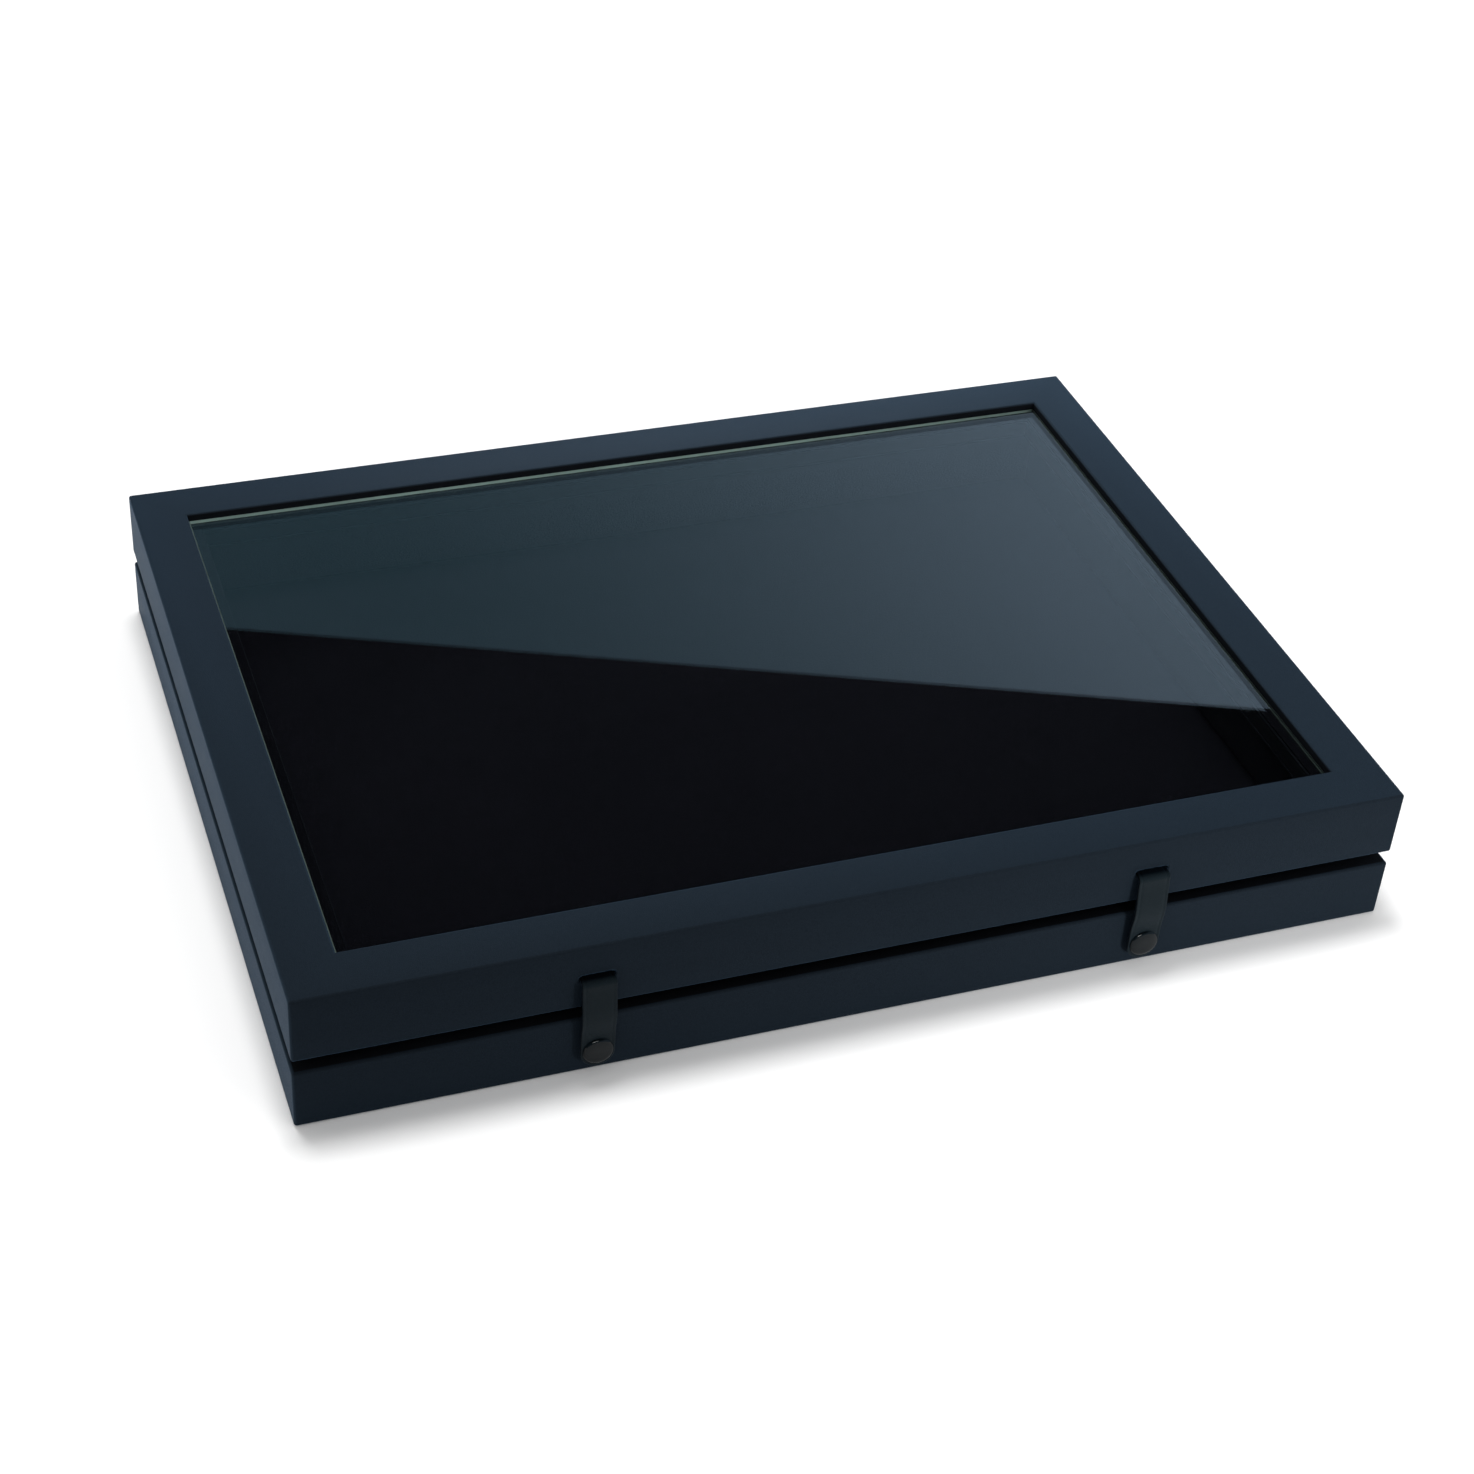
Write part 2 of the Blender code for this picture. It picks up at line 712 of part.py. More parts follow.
def make_strap(side, place, lid):
    """Strap with its cap and socket, hung on the bend just outside the slit."""
    front = -CASE_DEPTH / 2
    axis = empty(f"strap_{side}_axis", (place, front - STRAP_BEND_OUT, EXIT_HEIGHT), lid)
    location = (place, front, 0.0)
    name = f"strap_{side}"
    strap = add_piece(name, strap_shape(), LEATHER_STRAP, axis, location, smooth=True)
    wide = CAP_POST_RADIUS + HOLE_CLEARANCE
    near = STRAP_BACK - SNAP_GAP
    far = CAP_BACK + CUT_OVERRUN
    hole = [(0.0, near), (wide, near), (wide, far), (0.0, far)]
    tool_place = (place, front, STUD_HEIGHT)
    tool = add_tool(f"strap_{side}_cut", turned(hole, SMALL_SIDES, "-Y"), tool_place)
    combine(strap, tool, "DIFFERENCE")
    make_snap_cap(side, place, axis)
    make_snap_socket(side, place, axis)


def lip_reach():
    """How far the stop lips stand out, so that they meet at the stop angle."""
    half_closed = math.radians((180.0 - STOP_ANGLE) / 2)
    contact = LID_GAP / 2 * math.tan(half_closed)
    return contact - SEAT_GAP / 2 / math.cos(half_closed)


def knuckle_spans(own):
    """X spans of a leaf's own knuckles, or of the other leaf's, about the hinge's middle."""
    third = HINGE_WIDTH / 3
    if own == "outer":
        start = third / 2 + KNUCKLE_GAP / 2
        return [(-HINGE_WIDTH / 2, -start), (start, HINGE_WIDTH / 2)]
    reach = third / 2 - KNUCKLE_GAP / 2
    return [(-reach, reach)]


def leaf_outline(up):
    """Section of a leaf about the axis: a plate in the gap and a lip down the back."""
    lip = lip_reach()
    lip_end = LID_GAP / 2 + LIP_HEIGHT
    inner = LEAF_FACE - LEAF_THICKNESS
    points = [
        (-LEAF_REACH, LEAF_FACE),
        (SEAT_GAP, LEAF_FACE),
        (SEAT_GAP, lip_end),
        (lip, lip_end),
        (lip, inner),
        (-LEAF_REACH, inner),
    ]
    return [(y, up * z) for y, z in points]


def rod(radius, low, high, sides):
    """A rod along X between two places."""
    profile = [(0.0, low), (radius, low), (radius, high), (0.0, high)]
    return turned(profile, sides, "X")


def notch_spans(own):
    """X spans that a leaf leaves free for the other leaf's knuckles."""
    clear = KNUCKLE_GAP
    if own == "outer":
        low, high = knuckle_spans("middle")[0]
        return [(low - clear, high + clear)]
    outer = HINGE_WIDTH / 2 + CUT_OVERRUN
    reach = knuckle_spans("middle")[0][1]
    return [(-outer, -reach), (reach, outer)]


def make_leaf(name, own, up, axis_place, parent):
    """One hinge leaf: plate, stop lip and knuckles, bored for the pin."""
    half = HINGE_WIDTH / 2
    shape = extruded(leaf_outline(up), -half, half)
    leaf = add_piece(name, shape, BRIGHT_NICKEL, parent, axis_place, smooth=True)
    free = KNUCKLE_RADIUS + KNUCKLE_GAP
    bound = LID_GAP / 2
    for number, (low, high) in enumerate(notch_spans(own)):
        notch = block(
            (low, -free, -bound),
            (high, lip_reach() + CUT_OVERRUN, bound),
        )
        tool = add_tool(f"{name}_notch_{number}", notch, axis_place)
        combine(leaf, tool, "DIFFERENCE")
    for number, (low, high) in enumerate(knuckle_spans(own)):
        knuckle = rod(KNUCKLE_RADIUS, low, high, ROUND_SIDES)
        tool = add_tool(f"{name}_knuckle_{number}", knuckle, axis_place)
        combine(leaf, tool, "UNION")
    bore = rod(PIN_RADIUS + HOLE_CLEARANCE, -half - CUT_OVERRUN, half + CUT_OVERRUN, SMALL_SIDES)
    tool = add_tool(f"{name}_bore", bore, axis_place)
    combine(leaf, tool, "DIFFERENCE")
    return leaf


def screw_profile(grow, top):
    """Countersunk screw with its head in the leaf's face, grown for its hole."""
    head = SCREW_HEAD_RADIUS + grow
    shank = SCREW_RADIUS + grow
    end = -SCREW_LENGTH - grow
    points = [(0.0, top)]
    if top > 0:
        points.append((head, top))
    points += [
        (head, 0.0),
        (shank, -LEAF_THICKNESS),
        (shank, end + SCREW_TIP),
        (0.0, end),
    ]
    return points


def upturned(shape, up):
    """Point a shape made downwards along Z up instead, for the lid's screws."""
    if up > 0:
        turn = Matrix.Rotation(math.pi, 4, "X")
        bmesh.ops.transform(shape, matrix=turn, verts=shape.verts)
    return shape


def make_screws(name, up, axis_place, parent, targets):
    """Two screws through a leaf and the cover into the board, and their holes."""
    for number, sign in enumerate((-1, 1), start=1):
        x = axis_place[0] + sign * SCREW_SPACING / 2
        face = axis_place[2] + up * (LEAF_FACE - LEAF_THICKNESS)
        location = (x, axis_place[1] - SCREW_INSET, face)
        screw = upturned(turned(screw_profile(0.0, 0.0), SMALL_SIDES), up)
        piece_name = f"{name}_screw_{number}"
        add_piece(piece_name, screw, BRIGHT_NICKEL, parent, location, smooth=True)
        hole = turned(screw_profile(HOLE_CLEARANCE, CUT_OVERRUN), SMALL_SIDES)
        tool = add_tool(f"{piece_name}_cut", upturned(hole, up), location)
        for target in targets:
            combine(target, tool, "DIFFERENCE")


def make_hinge(side, sign, base, lid, base_targets, lid_targets):
    """A stop hinge in the gap at the back: two leaves, a pin and four screws."""
    axis_place = (sign * HINGE_SPACING / 2, CASE_DEPTH / 2, AXIS_HEIGHT)
    name = f"hinge_{side}"
    lower = make_leaf(f"{name}_base_leaf", "outer", -1, axis_place, base)
    upper = make_leaf(f"{name}_lid_leaf", "middle", 1, axis_place, lid)
    half = HINGE_WIDTH / 2
    pin = rod(PIN_RADIUS, -half, half, SMALL_SIDES)
    add_piece(f"{name}_pin", pin, BRIGHT_NICKEL, base, axis_place, smooth=True)
    make_screws(f"{name}_base", -1, axis_place, base, [lower, *base_targets])
    make_screws(f"{name}_lid", 1, axis_place, lid, [upper, *lid_targets])


def build():
    """Model the whole case."""
    clear_scene()
    base = empty("base", (0, 0, 0))
    lid = empty("lid", (0, CASE_DEPTH / 2, AXIS_HEIGHT), base)
    boards = make_base_boards(base)
    base_cover = make_base_cover(base)
    make_underside(base)
    make_neck(base)
    make_pad(base)
    rails = make_lid_rails(lid)
    lid_cover = make_lid_cover(lid)
    make_pane(lid)
    for side, sign in (("left", -1), ("right", 1)):
        place = STRAP_OFFSET + sign * STRAP_SPACING / 2
        make_slit(side, place, [lid_cover, rails["front"]])
        make_strap_root(side, place, lid)
        make_strap(side, place, lid)
        make_press_stud(side, place, base, [base_cover, boards["front"]])
        base_targets = [base_cover, boards["back"]]
        make_hinge(side, sign, base, lid, base_targets, [lid_cover, rails["back"]])


build()
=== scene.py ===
"""Dressed model of a flat display case with a glass lid, and the studio it stands in.

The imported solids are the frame. Covers, pane, pad, straps, caps, sockets and studs are
new surfaces worked out with numpy, and the solids that stay in sight get new finishes.
All lengths are in metres: X along the width, Y towards the hinges, Z up.
"""

import json
import math
from functools import partial

import bmesh
import bpy
import numpy as np
from bpy.props import FloatProperty, FloatVectorProperty, IntProperty, PointerProperty
from mathutils import Matrix, Vector

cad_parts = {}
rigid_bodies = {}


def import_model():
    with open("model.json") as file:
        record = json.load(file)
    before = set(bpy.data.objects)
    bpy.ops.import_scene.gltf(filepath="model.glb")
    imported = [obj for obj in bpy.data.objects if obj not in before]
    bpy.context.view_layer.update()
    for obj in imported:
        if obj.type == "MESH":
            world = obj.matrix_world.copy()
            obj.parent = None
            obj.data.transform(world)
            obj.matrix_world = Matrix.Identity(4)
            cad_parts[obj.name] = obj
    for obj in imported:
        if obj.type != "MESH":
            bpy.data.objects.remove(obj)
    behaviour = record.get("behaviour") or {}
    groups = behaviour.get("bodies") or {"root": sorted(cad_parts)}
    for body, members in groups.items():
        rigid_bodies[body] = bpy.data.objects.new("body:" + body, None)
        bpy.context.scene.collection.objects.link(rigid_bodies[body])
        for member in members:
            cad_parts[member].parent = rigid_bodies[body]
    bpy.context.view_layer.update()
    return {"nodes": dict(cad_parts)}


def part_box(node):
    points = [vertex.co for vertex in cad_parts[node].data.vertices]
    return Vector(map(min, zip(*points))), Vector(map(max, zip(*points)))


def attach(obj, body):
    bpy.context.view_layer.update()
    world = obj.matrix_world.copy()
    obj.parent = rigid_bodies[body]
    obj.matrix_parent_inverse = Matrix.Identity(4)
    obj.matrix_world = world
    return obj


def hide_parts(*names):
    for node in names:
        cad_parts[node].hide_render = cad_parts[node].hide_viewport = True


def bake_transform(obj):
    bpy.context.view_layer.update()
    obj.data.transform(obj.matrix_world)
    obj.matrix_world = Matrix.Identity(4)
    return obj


bl_info = {
    "name": "Glass display case",
    "version": (1, 0, 0),
    "blender": (4, 5, 0),
    "location": "3D View > Sidebar > Display Case",
    "description": "Dresses a glass-topped display case and lights it in a plain studio",
    "category": "Object",
}

for leftover in list(bpy.data.objects):
    bpy.data.objects.remove(leftover)

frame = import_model()

LID_LOW, LID_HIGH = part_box("lid_cover")
BASE_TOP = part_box("base_cover")[1].z
PANE_LOW, PANE_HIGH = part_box("glass_pane")
PAD_LOW, PAD_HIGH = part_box("display_pad")
STRAP_LOW, STRAP_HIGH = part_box("strap_left")
ROOT_LOW, ROOT_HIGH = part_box("strap_left_root")
CAP_LOW, CAP_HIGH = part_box("strap_left_cap")
SOCKET_LOW, SOCKET_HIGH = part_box("strap_left_socket")
STUD_LOW, STUD_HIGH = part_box("press_stud_left")

SIDES = ("left", "right")
CORNER_SIGNS = np.array([(-1, -1), (1, -1), (1, 1), (-1, 1)])
FRONT = LID_LOW.y
STRAP_HALF = (STRAP_HIGH.x - STRAP_LOW.x) / 2
STRAP_THICK = ROOT_HIGH.z - ROOT_LOW.z
STRAP_EXIT = (ROOT_LOW.z + ROOT_HIGH.z) / 2
BEND_RADIUS = 0.0014  # of a strap's middle line in front of its slit
BEND_START = 0.0015  # how far out that bend begins
BOW_OUT = 0.0040  # how far a strap's middle line stands out over the gap
SLIT_PLAY = 0.0004  # how far a slit reaches past each edge of its strap
SLIT_STEPS = np.array([0.0005, 0.0011, 0.0020])  # from a slit to the lines beside it
FASTENER_GAP = 0.0003
AXIS_RADIUS = 0.00004  # where a turned profile ends and is capped
ROUND_STEPS = 6
SMOOTH_DEGREES = 40.0
TURNED_SMOOTH_DEGREES = 35.0
STRAP_SMOOTH_DEGREES = 50.0
MERGE_DISTANCE = 0.000004
PHOTO_WIDTH = 1474


# ---- Sizes, colours and studio that a user would change


def a_length(name, description, default):
    """A length in metres."""
    return FloatProperty(name=name, description=description, default=default, unit="LENGTH")


def a_colour(name, description, default):
    """A colour."""
    return FloatVectorProperty(
        name=name, description=description, default=default, subtype="COLOR"
    )


def an_angle(name, description, degrees):
    """An angle, its default given in degrees."""
    return FloatProperty(
        name=name, description=description, default=math.radians(degrees), subtype="ANGLE"
    )


def a_power(name, description, default):
    """A lamp's power in watts."""
    return FloatProperty(
        name=name, description=description, default=default, subtype="POWER"
    )


class CaseSizes(bpy.types.PropertyGroup):
    """Sizes of the case's visible pieces."""

    cover_thickness: a_length("Cover Thickness", "Thickness of the leatherette", 0.0008)
    edge_radius: a_length("Edge Radius", "Rounding of the covered edges", 0.0010)
    turn_in: a_length("Turn-in", "Width of leatherette turned in under the base", 0.0100)
    board: a_length("Board", "Width of the base's covered top edge", 0.0131)
    frame_width: a_length("Frame Width", "Width of the lid's frame seen from above", 0.0195)
    ledge_end: a_length("Ledge End", "Inset at which the ledge under the pane ends", 0.0245)
    ledge_drop: a_length(
        "Ledge Drop", "Depth of the ledge below the top of the frame", 0.0067
    )
    recess_wall: a_length("Recess Wall", "Inset of the lid's recess for the neck", 0.0126)
    recess_height: a_length(
        "Recess Height", "Height of the recess above the lid's lower edge", 0.0114
    )
    slit_height: a_length(
        "Slit Height", "Height of the slit that a strap comes out of", 0.0029
    )
    slit_raise: a_length(
        "Slit Raise", "How far the slit's middle is above the strap's", 0.0006
    )
    slit_lip: a_length(
        "Slit Lip", "How far the leatherette stands up round a slit", 0.00022
    )
    pane_arris: a_length("Pane Arris", "Ground chamfer along the pane's edges", 0.0004)
    pad_rounding: a_length("Pad Rounding", "Rounding of the pad's edges", 0.0030)
    pad_crown: a_length("Pad Crown", "Rise of the pad's middle above its edges", 0.0006)
    pad_pull: a_length(
        "Pad Pull", "How far the pad's sides pull in between its corners", 0.0012
    )
    strap_crease: a_length(
        "Strap Crease", "Depth of the creased line along a strap's edges", 0.00010
    )
    strap_crease_inset: a_length(
        "Strap Crease Inset", "Distance of the crease from the strap's edge", 0.0010
    )
    strap_corner: a_length("Strap Corner", "Rounding of a strap's cut edges", 0.00038)
    round_sides: IntProperty(
        name="Round Sides", description="Facets round caps, sockets and studs",
        default=64, min=16, max=128,
    )


class CaseColours(bpy.types.PropertyGroup):
    """Colours of the case's finishes."""

    leatherette: a_colour("Leatherette", "Colour of the covers", (0.0080, 0.0115, 0.0158))
    leatherette_worn: a_colour(
        "Leatherette Worn", "Colour of the covers where they are rubbed",
        (0.0098, 0.0142, 0.0194),
    )
    strap: a_colour("Strap", "Colour of the straps", (0.0054, 0.0090, 0.0112))
    velvet: a_colour("Velvet", "Colour of the pad", (0.0036, 0.0037, 0.0052))
    neck: a_colour("Neck", "Colour of the neck's covering", (0.0085, 0.0092, 0.0120))
    cap: a_colour("Cap", "Colour of the caps' dark lacquer", (0.0022, 0.0042, 0.0054))
    nickel: a_colour("Nickel", "Colour of the plated metal", (0.58, 0.56, 0.52))
    ground_edge: a_colour(
        "Ground Edge", "Colour of the pane's ground edge", (0.50, 0.68, 0.62)
    )
    fibreboard: a_colour("Fibreboard", "Colour of the raw boards", (0.165, 0.105, 0.062))
    dyed_board: a_colour(
        "Dyed Board", "Colour of the lid's dyed rails", (0.0040, 0.0042, 0.0052)
    )
    # Near-black painted shade for the base's top edge in the gap and for the lid's
    # underside and inner faces.
    rim: a_colour(
        "Rim", "Colour of the rims in the gap and the lid's inner faces",
        (0.0030, 0.0036, 0.0048),
    )
    lining: a_colour("Lining", "Colour of the lining under the base", (0.012, 0.013, 0.014))
    tape: a_colour("Tape", "Colour of the tape under the pane", (0.0026, 0.0027, 0.0038))
    floor: a_colour("Floor", "Colour of the floor", (0.96, 0.96, 0.96))


class CaseStudio(bpy.types.PropertyGroup):
    """Camera and lamps."""

    camera_place: FloatVectorProperty(
        name="Camera Place", description="Where the camera stands",
        subtype="TRANSLATION", unit="LENGTH", default=(-0.3088, -0.7822, 0.6560),
    )
    camera_azimuth: an_angle(
        "Camera Azimuth", "Direction of view, from +Y towards +X", 21.781
    )
    camera_tilt: an_angle("Camera Tilt", "How far the camera looks down", 37.598)
    camera_roll: an_angle("Camera Roll", "Turn of the camera about its view", 4.302)
    focal_pixels: FloatProperty(
        name="Focal Length in Pixels", description="Focal length in the photo's pixels",
        default=2768.65,
    )
    world_strength: FloatProperty(
        name="World Strength", description="Light from the room on matt surfaces",
        default=0.62,
    )
    overhead_watts: a_power("Overhead Lamp", "Power of the lamp above", 38.0)
    back_watts: a_power("Back Lamp", "Power of the low lamp behind the case", 2.0)
    left_watts: a_power("Left Lamp", "Power of the small lamp at the left", 1.4)
    front_watts: a_power("Front Lamp", "Power of the small lamp at the front right", 0.52)


# ---- Meshes


def link_piece(name, points, faces, smooth=True):
    """A mesh object at the origin from an (n, 3) array of points and its faces, with
    doubled points merged and normals made to agree."""
    mesh = bpy.data.meshes.new(name)
    mesh.from_pydata(np.asarray(points).reshape(-1, 3).tolist(), [], faces)
    work = bmesh.new()
    work.from_mesh(mesh)
    bmesh.ops.remove_doubles(work, verts=work.verts, dist=MERGE_DISTANCE)
    bmesh.ops.recalc_face_normals(work, faces=work.faces)
    work.to_mesh(mesh)
    work.free()
    if smooth:
        mesh.shade_smooth()
    piece = bpy.data.objects.new(name, mesh)
    bpy.context.scene.collection.objects.link(piece)
    return piece


def vectors_of(items, field):
    """An (n, 3) array of a vector of each vertex or face, such as its place or normal."""
    values = np.empty(3 * len(items))
    items.foreach_get(field, values)
    return values.reshape(-1, 3)


def grid_faces(points, wrap_rows=False, wrap_columns=False):
    """Quads of a (rows, columns, 3) grid, as an (n, 4) array: each joins a point to the
    next one along its row, the one past that in the next row, and the one below itself."""
    rows, columns = points.shape[:2]
    down = np.arange(rows if wrap_rows else rows - 1)[:, None]
    along = np.arange(columns if wrap_columns else columns - 1)[None, :]
    below = (down + 1) % rows
    beside = (along + 1) % columns
    corners = (
        down * columns + along,
        down * columns + beside,
        below * columns + beside,
        below * columns + along,
    )
    return np.stack([corner.ravel() for corner in corners], axis=1)


def closed_tube(name, points):
    """A piece from rings of points, each ring closed and the first and last one capped."""
    rows, columns = points.shape[:2]
    ring = np.arange(columns)
    ends = [ring[::-1].tolist(), (ring + (rows - 1) * columns).tolist()]
    return link_piece(name, points, grid_faces(points, wrap_columns=True).tolist() + ends)


def turned_points(profile, sides, centre):
    """(rows, sides, 3) points of a profile of (radius, out) turned about a line that runs
    towards -Y: X is radius times cosine, Z radius times sine, and Y goes down with out."""
    angle = np.linspace(0.0, 2 * math.pi, sides, endpoint=False)
    radius, out = profile[:, :1], profile[:, 1:]
    x = centre[0] + radius * np.cos(angle)
    z = centre[2] + radius * np.sin(angle)
    y = np.broadcast_to(centre[1] - out, x.shape)
    return np.stack([x, y, z], axis=-1)


def arc(centre, radius, start, end, steps):
    """Points of a circle's arc between two angles in degrees."""
    angle = np.radians(np.linspace(start, end, steps + 1))
    turned = np.stack([np.cos(angle), np.sin(angle)], axis=1)
    return np.asarray(centre) + radius * turned


def rounded_path(corners, radii):
    """An open path with square corners, rounded where a radius is given.

    With a and b the unit steps from a corner to its two neighbours, a point of the arc is
    the corner plus radius * (1 - sin t) * a plus radius * (1 - cos t) * b, t in 0 to 90
    degrees.
    """
    corners = np.asarray(corners, float)
    t = np.linspace(0.0, math.pi / 2, ROUND_STEPS + 1)[:, None]
    runs = [corners[:1]]
    for i in range(1, len(corners) - 1):
        here, radius = corners[i], radii[i]
        if radius == 0:
            runs.append(here[None])
            continue
        a = (corners[i - 1] - here) / np.linalg.norm(corners[i - 1] - here)
        b = (corners[i + 1] - here) / np.linalg.norm(corners[i + 1] - here)
        runs.append(here + radius * (1 - np.sin(t)) * a + radius * (1 - np.cos(t)) * b)
    runs.append(corners[-1:])
    return np.concatenate(runs)


def ring_points(path, corner_radius, front_x=()):
    """(rows, columns, 3) points of a path of (inset, height) carried round the case.

    Round each corner, X and Y are the rectangle's corner drawn in by the larger of the
    corner radius and the inset, plus the rest of the radius times cosine and sine. The
    front side has more columns at the X places given.
    """
    half_x, half_y = LID_HIGH.x, LID_HIGH.y
    inset, height = path[:, :1], path[:, 1:]
    pull = np.maximum(corner_radius, inset)
    reach = np.maximum(corner_radius - inset, 0.0)
    columns_x, columns_y = [], []
    if len(front_x):
        limit = half_x - pull
        columns_x.append(np.clip(np.asarray(front_x)[None, :], -limit, limit))
        columns_y.append(np.repeat(-(half_y - inset), len(front_x), axis=1))
    for quarter in range(4):
        angle = math.pi / 2 * (quarter - 1 + np.linspace(0, 1, ROUND_STEPS + 1))[None, :]
        sign_x = (1, 1, -1, -1)[quarter]
        sign_y = (-1, 1, 1, -1)[quarter]
        columns_x.append(sign_x * (half_x - pull) + reach * np.cos(angle))
        columns_y.append(sign_y * (half_y - pull) + reach * np.sin(angle))
    x = np.concatenate(columns_x, axis=1)
    y = np.concatenate(columns_y, axis=1)
    z = np.broadcast_to(height, x.shape)
    return np.stack([x, y, z], axis=-1)


def add_skin(name, points, faces, thickness):
    """An open surface given its thickness inwards; its front wall is made to face -Y."""
    piece = link_piece(name, points, faces.tolist())
    foremost = np.argmin(vectors_of(piece.data.polygons, "center")[:, 1])
    if vectors_of(piece.data.polygons, "normal")[foremost, 1] > 0:
        piece.data.flip_normals()
    wall = piece.modifiers.new("thickness", "SOLIDIFY")
    wall.thickness = thickness
    wall.offset = -1.0
    wall.use_even_offset = True
    return piece


def sharpen(piece, degrees=SMOOTH_DEGREES):
    """Flat shading across edges that turn more than an angle."""
    piece.data.set_sharp_from_angle(angle=math.radians(degrees))


# ---- Node helpers

SOFT_NOISE = {"detail": 4.0, "roughness": 0.6}
NODE_SPACING = 220


def feed(tree, socket, value):
    """Set a socket to a value, or link another node's output to it."""
    if isinstance(value, bpy.types.NodeSocket):
        tree.links.new(value, socket)
    else:
        socket.default_value = value


def add_node(tree, kind, inputs=(), **settings):
    """A shader node with settings, and inputs given by value or by another's output."""
    made = tree.nodes.new(kind)
    made.location = (NODE_SPACING * len(tree.nodes), 0)
    for name, value in settings.items():
        setattr(made, name, value)
    for name, value in dict(inputs).items():
        feed(tree, made.inputs[name], value)
    return made


def mixed(tree, factor, a, b):
    """A colour between two, by a mask."""
    inputs = {0: factor, 6: a, 7: b}
    return add_node(tree, "ShaderNodeMix", inputs, data_type="RGBA").outputs[2]


def ranged(tree, value, low, high, floor=0.0, ceiling=1.0):
    """A mask stretched to run between two values."""
    inputs = {
        "Value": value, "From Min": floor, "From Max": ceiling,
        "To Min": low, "To Max": high,
    }
    return add_node(tree, "ShaderNodeMapRange", inputs).outputs["Result"]


def noise(tree, vector, scale, detail=3.0, roughness=0.5):
    """Noise about a mean of one half, its features one over the scale across."""
    inputs = {"Vector": vector, "Scale": scale, "Detail": detail, "Roughness": roughness}
    return add_node(tree, "ShaderNodeTexNoise", inputs).outputs["Fac"]


def product(tree, a, b, operation="MULTIPLY"):
    """Two values put together."""
    return add_node(tree, "ShaderNodeMath", {0: a, 1: b}, operation=operation).outputs[0]


def new_group(name, sizes, outputs):
    """An empty shader node group with a vector input, float inputs and float outputs."""
    group = bpy.data.node_groups.new(name, "ShaderNodeTree")
    sockets = group.interface
    sockets.new_socket("Vector", in_out="INPUT", socket_type="NodeSocketVector")
    for label, default in sizes.items():
        made = sockets.new_socket(label, in_out="INPUT", socket_type="NodeSocketFloat")
        made.default_value = default
    for label in outputs:
        sockets.new_socket(label, in_out="OUTPUT", socket_type="NodeSocketFloat")
    return group, group.nodes.new("NodeGroupInput"), group.nodes.new("NodeGroupOutput")


def pebble_group():
    """Embossed grain: pebbles in furrows, broken up by a finer noise, with rubbed tops."""
    warp_share, fine_times, tone_share = 0.4, 3.0, 0.012
    furrow_end, dome_part, fine_part = 0.28, 0.8, 0.2
    group, start, end = new_group(
        "Pebbled Grain", {"Pebble Size": 0.0006}, ["Height", "Furrow", "Tone"]
    )
    place, size = start.outputs["Vector"], start.outputs["Pebble Size"]
    scale = product(group, 1.0, size, "DIVIDE")
    warp_scale = product(group, scale, warp_share)
    warp = add_node(group, "ShaderNodeTexNoise", {"Vector": place, "Scale": warp_scale})
    push = add_node(
        group, "ShaderNodeVectorMath", {0: warp.outputs["Color"], "Scale": size},
        operation="SCALE",
    )
    bent = add_node(
        group, "ShaderNodeVectorMath", {0: place, 1: push.outputs[0]}, operation="ADD"
    )
    cells = add_node(
        group, "ShaderNodeTexVoronoi", {"Vector": bent.outputs[0], "Scale": scale},
        feature="DISTANCE_TO_EDGE",
    )
    dome = ranged(group, cells.outputs["Distance"], 0.0, 1.0, 0.0, furrow_end)
    fine = noise(group, place, product(group, scale, fine_times))
    height = product(
        group, product(group, dome, dome_part), product(group, fine, fine_part), "ADD"
    )
    tone = noise(group, place, product(group, scale, tone_share), **SOFT_NOISE)
    for label, value in (("Height", height), ("Furrow", dome), ("Tone", tone)):
        group.links.new(value, end.inputs[label])
    return group


def speckle_group():
    """Soft blotches and fine specks, for dust, pile, board, paper and foam."""
    low, high = 0.3, 0.7
    group, start, end = new_group(
        "Blotch and Speck", {"Blotch Size": 0.05, "Speck Size": 0.001}, ["Blotch", "Speck"]
    )
    for label in ("Blotch", "Speck"):
        scale = product(group, 1.0, start.outputs[f"{label} Size"], "DIVIDE")
        value = noise(group, start.outputs["Vector"], scale, **SOFT_NOISE)
        group.links.new(ranged(group, value, 0.0, 1.0, low, high), end.inputs[label])
    return group


def brushed_group():
    """Fine scratches drawn out along X, and broad smudges."""
    drawn_share, smudge_share = 0.03, 0.02
    group, start, end = new_group(
        "Drawn Scratches", {"Scratch Width": 0.00008}, ["Height", "Shine"]
    )
    place = start.outputs["Vector"]
    inputs = {"Vector": place, "Scale": (drawn_share, 1.0, 1.0)}
    drawn = add_node(group, "ShaderNodeMapping", inputs).outputs[0]
    scale = product(group, 1.0, start.outputs["Scratch Width"], "DIVIDE")
    group.links.new(noise(group, drawn, scale, 2.0), end.inputs["Height"])
    smudge = noise(group, place, product(group, scale, smudge_share), 3.0)
    group.links.new(smudge, end.inputs["Shine"])
    return group


GROUP_MAKERS = {
    "Pebbled Grain": pebble_group,
    "Blotch and Speck": speckle_group,
    "Drawn Scratches": brushed_group,
}


def place_group(tree, name, **inputs):
    """One of the shared groups, made on first use and placed in a material."""
    made = bpy.data.node_groups.get(name) or GROUP_MAKERS[name]()
    named = {label.replace("_", " "): value for label, value in inputs.items()}
    return add_node(tree, "ShaderNodeGroup", named, node_tree=made)


